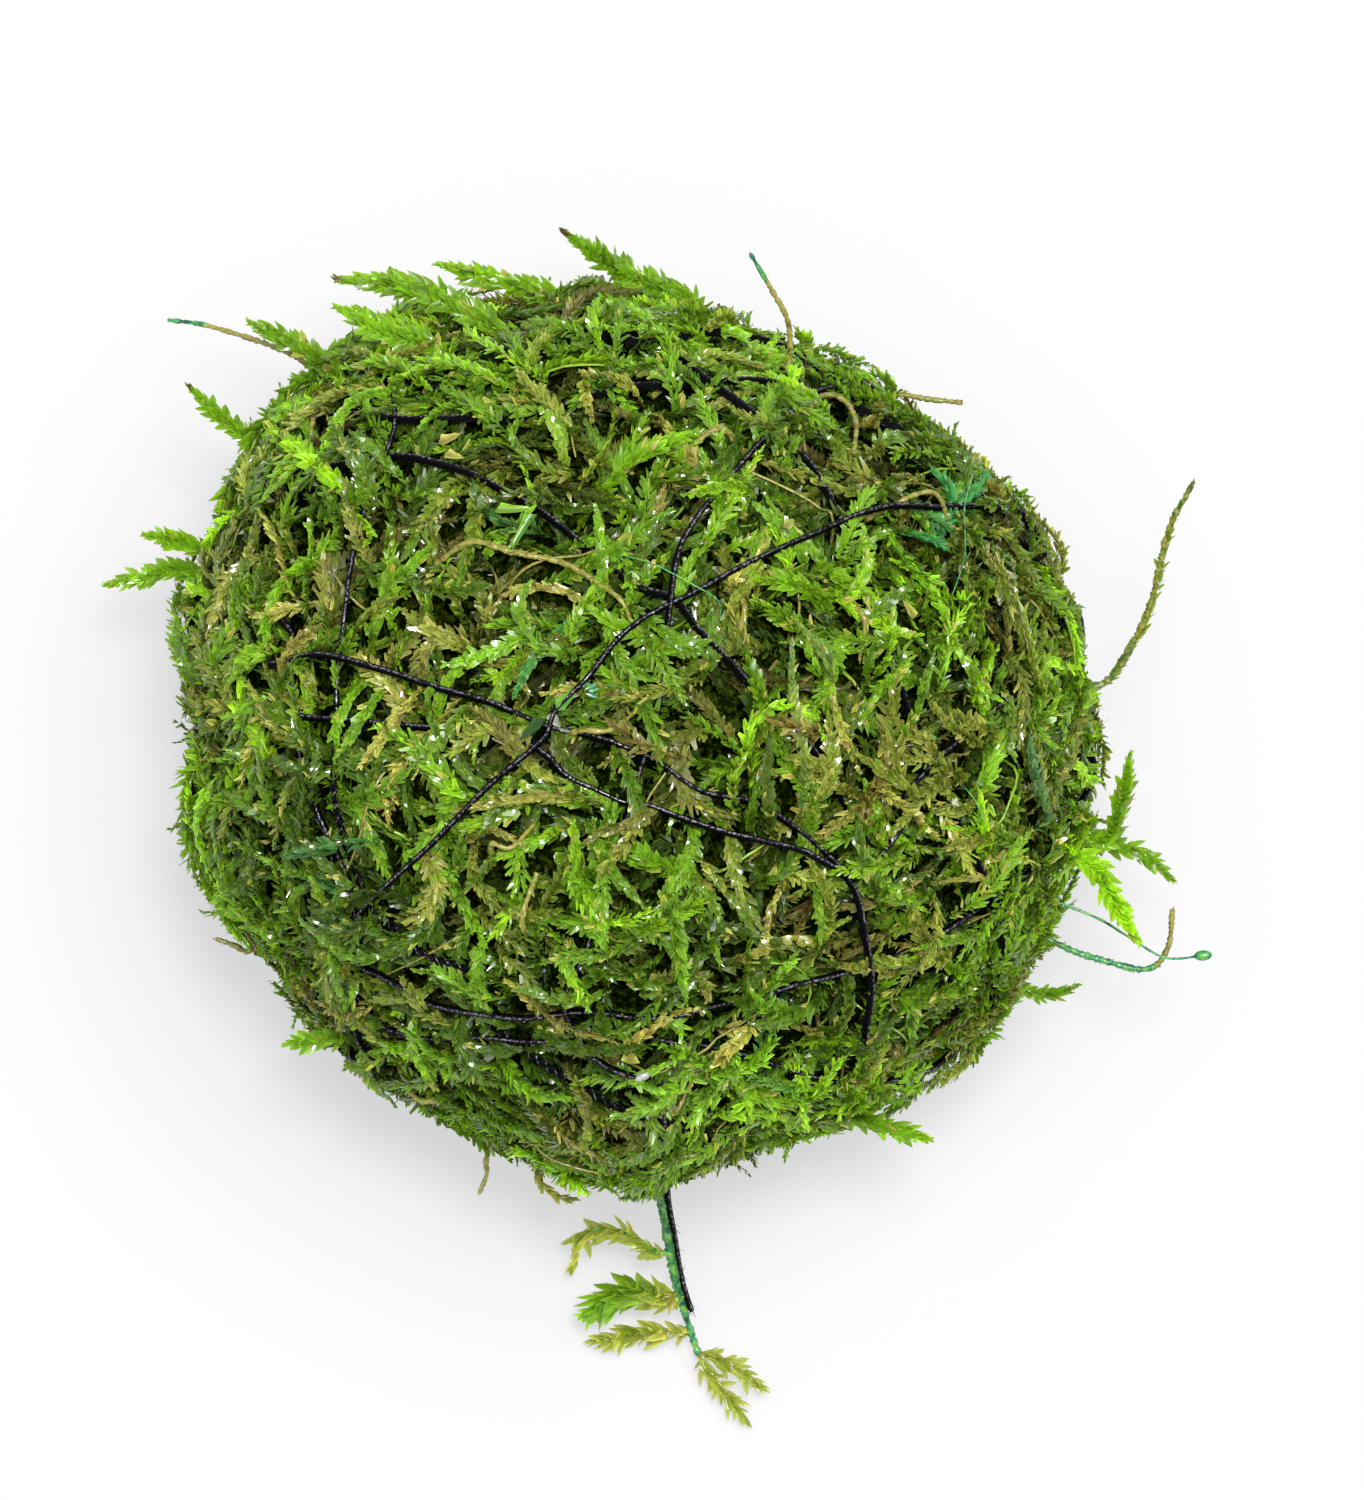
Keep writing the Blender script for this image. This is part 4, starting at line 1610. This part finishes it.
# %% [markdown]
# ## The loose shoots
#
# Twenty-nine shoots stand out from the ball. Each has its own solid, and here each becomes a stem with its rows of
# leaves along the same line, so it sits exactly where the solid is. The list says what it grows from, how its leaves
# look, how long they are, and the points that it runs through.

# %% Loose shoots
LOOSE_SHOOTS = (
    ("thin_stem_upper_left", "old_stem", "bare, dyed tip", 0.40, "ball",
     ((-22.0, 24.5, 30.0), (-27.5, 26.5, 28.0), (-30.5, 27.0, 27.0))),
    ("leafy_shoot_upper_left", "fresh_shoot", "green", 1.10, "ball",
     ((-20.0, 24.0, 33.0), (-22.5, 25.5, 33.0), (-24.8, 26.6, 33.0))),
    ("dark_tip_shoot_left", "fresh_shoot", "dark tip", 0.90, "ball",
     ((-25.0, 19.0, 30.0), (-27.5, 21.0, 30.5), (-29.0, 22.5, 31.0))),
    ("long_shoot_top_left", "fresh_shoot", "dark tip", 1.35, "ball",
     ((-8.5, 26.0, 35.5), (-12.0, 28.0, 34.6), (-15.0, 29.0, 33.6), (-19.0, 29.5, 31.5))),
    ("short_shoot_top_left", "fresh_shoot", "bright", 1.25, "ball",
     ((-13.0, 25.0, 37.6), (-16.0, 26.0, 38.0), (-19.0, 27.5, 37.0))),
    ("bright_shoot_top", "fresh_shoot", "bright", 1.20, "ball",
     ((-5.0, 28.5, 28.5), (-8.5, 29.4, 28.0), (-12.5, 30.6, 27.5))),
    ("dark_tip_shoot_top", "fresh_shoot", "dark tip", 1.30, "ball",
     ((4.0, 28.2, 28.0), (0.5, 29.6, 28.5), (-2.0, 31.0, 29.5), (-4.2, 32.6, 30.5))),
    ("thin_stem_top", "old_stem", "bare, dyed tip", 0.50, "ball",
     ((10.5, 23.8, 35.0), (10.5, 26.5, 36.2), (9.5, 28.5, 37.5), (8.0, 31.0, 39.0))),
    ("bare_stem_top_right", "old_stem", "bare", 0.55, "ball",
     ((17.5, 22.0, 28.0), (20.0, 21.7, 28.5), (22.0, 21.5, 29.0))),
    ("long_stem_right", "old_stem", "scaly", 0.78, "ball",
     ((31.5, 3.0, 27.0), (33.5, 6.0, 29.0), (34.5, 8.5, 31.0), (35.5, 13.0, 34.0), (37.0, 16.0, 37.0))),
    ("leafy_shoot_right_up", "fresh_shoot", "bright", 1.07, "ball",
     ((31.5, -7.3, 27.5), (32.5, -4.5, 29.5), (33.0, -1.8, 31.0))),
    ("leafy_shoot_right_out", "fresh_shoot", "green", 0.95, "ball",
     ((32.0, -7.8, 23.5), (34.0, -8.4, 23.0), (36.0, -10.0, 22.5))),
    ("bright_shoot_right", "fresh_shoot", "lime", 1.15, "ball",
     ((30.5, -9.0, 31.0), (32.0, -11.5, 32.0), (33.5, -14.0, 32.0))),
    ("curled_stem_right", "dyed_stem", "bare, dyed root", 0.50, "ball",
     ((29.0, -14.6, 24.5), (31.0, -15.3, 24.5), (34.3, -16.0, 24.5), (35.7, -14.6, 25.0), (36.0, -12.0, 26.0))),
    ("knobbed_stem_right", "dyed_stem", "knobbed", 0.00, "ball",
     ((31.0, -12.6, 28.0), (33.0, -13.8, 28.5), (35.5, -15.2, 28.5), (38.2, -15.0, 29.0))),
    ("short_shoot_lower_right", "fresh_shoot", "green", 0.77, "ball",
     ((26.4, -17.4, 26.0), (28.2, -17.6, 26.0), (29.7, -17.0, 26.5))),
    ("leafy_shoot_bottom_right", "fresh_shoot", "bright", 1.04, "ball",
     ((14.8, -25.6, 29.0), (17.0, -26.3, 29.0), (19.7, -27.1, 29.0))),
    ("thin_stem_bottom", "old_stem", "bare", 0.45, "ball",
     ((-9.5, -28.6, 22.0), (-9.5, -29.7, 21.0), (-10.0, -31.0, 20.0))),
    ("leafy_shoot_bottom_left", "fresh_shoot", "bright", 0.98, "ball",
     ((-18.7, -20.2, 31.0), (-20.5, -20.5, 31.0), (-22.5, -20.8, 31.0))),
    ("bare_stem_left", "old_stem", "bare", 0.50, "ball",
     ((-25.2, -14.8, 25.0), (-26.2, -14.4, 25.0), (-27.4, -14.0, 25.0))),
    ("leafy_shoot_left", "fresh_shoot", "bright", 1.04, "ball",
     ((-29.8, 10.5, 24.0), (-32.0, 10.0, 23.5), (-34.6, 9.5, 23.0))),
    ("short_shoot_left", "fresh_shoot", "bright", 1.00, "ball",
     ((-28.7, 12.0, 29.0), (-30.5, 12.5, 29.5), (-31.9, 12.7, 30.0))),
    ("curled_shoot_bottom", "old_stem", "golden", 0.72, "ball",
     ((-6.0, -29.8, 24.0), (-4.8, -31.0, 23.5), (-3.4, -31.3, 23.5))),
    ("trailing_stem", "dyed_stem", "trailing", 0.75, "ball",
     ((1.5, -28.6, 15.0), (2.0, -31.3, 11.5), (2.5, -34.0, 8.3), (3.0, -37.0, 5.5), (4.0, -40.5, 3.2),
      (4.6, -42.3, 2.6))),
    ("trailing_branch_inner", "fresh_shoot", "thin, dyed", 1.40, "stem",
     ((1.8, -35.3, 6.9), (-0.5, -34.0, 6.2), (-3.0, -34.0, 5.0), (-4.0, -36.5, 3.6))),
    ("trailing_branch_middle", "fresh_shoot", "golden green", 1.70, "stem",
     ((2.5, -38.4, 4.6), (0.0, -38.0, 4.6), (-3.0, -39.5, 4.2))),
    ("trailing_branch_outer", "old_stem", "golden thin", 1.45, "stem",
     ((3.1, -40.7, 2.8), (0.5, -40.9, 2.2), (-2.5, -41.4, 1.6))),
    ("trailing_tip_right", "fresh_shoot", "thin", 1.20, "stem",
     ((5.5, -42.4, 3.0), (7.0, -43.1, 3.4), (9.0, -44.5, 3.2))),
    ("trailing_tip_end", "old_stem", "thin", 1.15, "stem",
     ((5.1, -43.4, 1.9), (6.5, -44.9, 1.7), (8.0, -47.0, 1.6))),
)
FLAT_TO_ABOVE = 0.6
KNOB_SIZE = (0.62, 0.36, 0.36)
KNOB_ON = "knobbed_stem_right"

trailing_points = next(row[-1] for row in LOOSE_SHOOTS if row[0] == "trailing_stem")
trailing_line = resampled([Vector(point) for point in trailing_points], FINE_GAP, FINE_PIECES)


def stations_through(points, grows_from):
    """The stations of a loose shoot, which turns its flat side mostly upwards."""
    line = [Vector(point) for point in points]
    if grows_from == "ball":
        line.insert(0, on_ball(direction_of(line[0]), ROOT_DEPTH))
    else:
        line.insert(0, min(trailing_line, key=lambda place: (place - line[0]).length))
    fine = resampled(line, FINE_GAP, FINE_PIECES)
    stations = []
    for index, place in enumerate(fine):
        out = Vector((0.0, 0.0, 1.0)) + (place - CENTRE).normalized() * FLAT_TO_ABOVE
        stations.append((place, out.normalized(), index / (len(fine) - 1)))
    return stations


def knob_at(end, ahead):
    """The long knob that closes a thin stem."""
    bm = bmesh.new()
    bmesh.ops.create_icosphere(bm, subdivisions=2, radius=1.0)
    bmesh.ops.scale(bm, vec=KNOB_SIZE, verts=bm.verts)
    bmesh.ops.rotate(bm, matrix=ahead.to_track_quat("X", "Z").to_matrix(), verts=bm.verts)
    bmesh.ops.translate(bm, vec=end - ahead * KNOB_SIZE[0] * 0.5, verts=bm.verts)
    return finished_object("knob", bm, stem_materials["dyed stem"])


loose_faces = 0
for name, slot, look_name, leaf, grows_from, points in LOOSE_SHOOTS:
    framed = with_frames(stations_through(points, grows_from))
    parts = leafy_parts(name, framed, look_name, leaf)
    if name == KNOB_ON:
        parts.append(knob_at(framed[-1][0], framed[-1][1]))
    piece = joined("fine_" + name, parts)
    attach(piece, "root")
    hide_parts(name)
    loose_faces += len(piece.data.polygons)
print("loose shoots:", len(LOOSE_SHOOTS), "faces:", loose_faces)
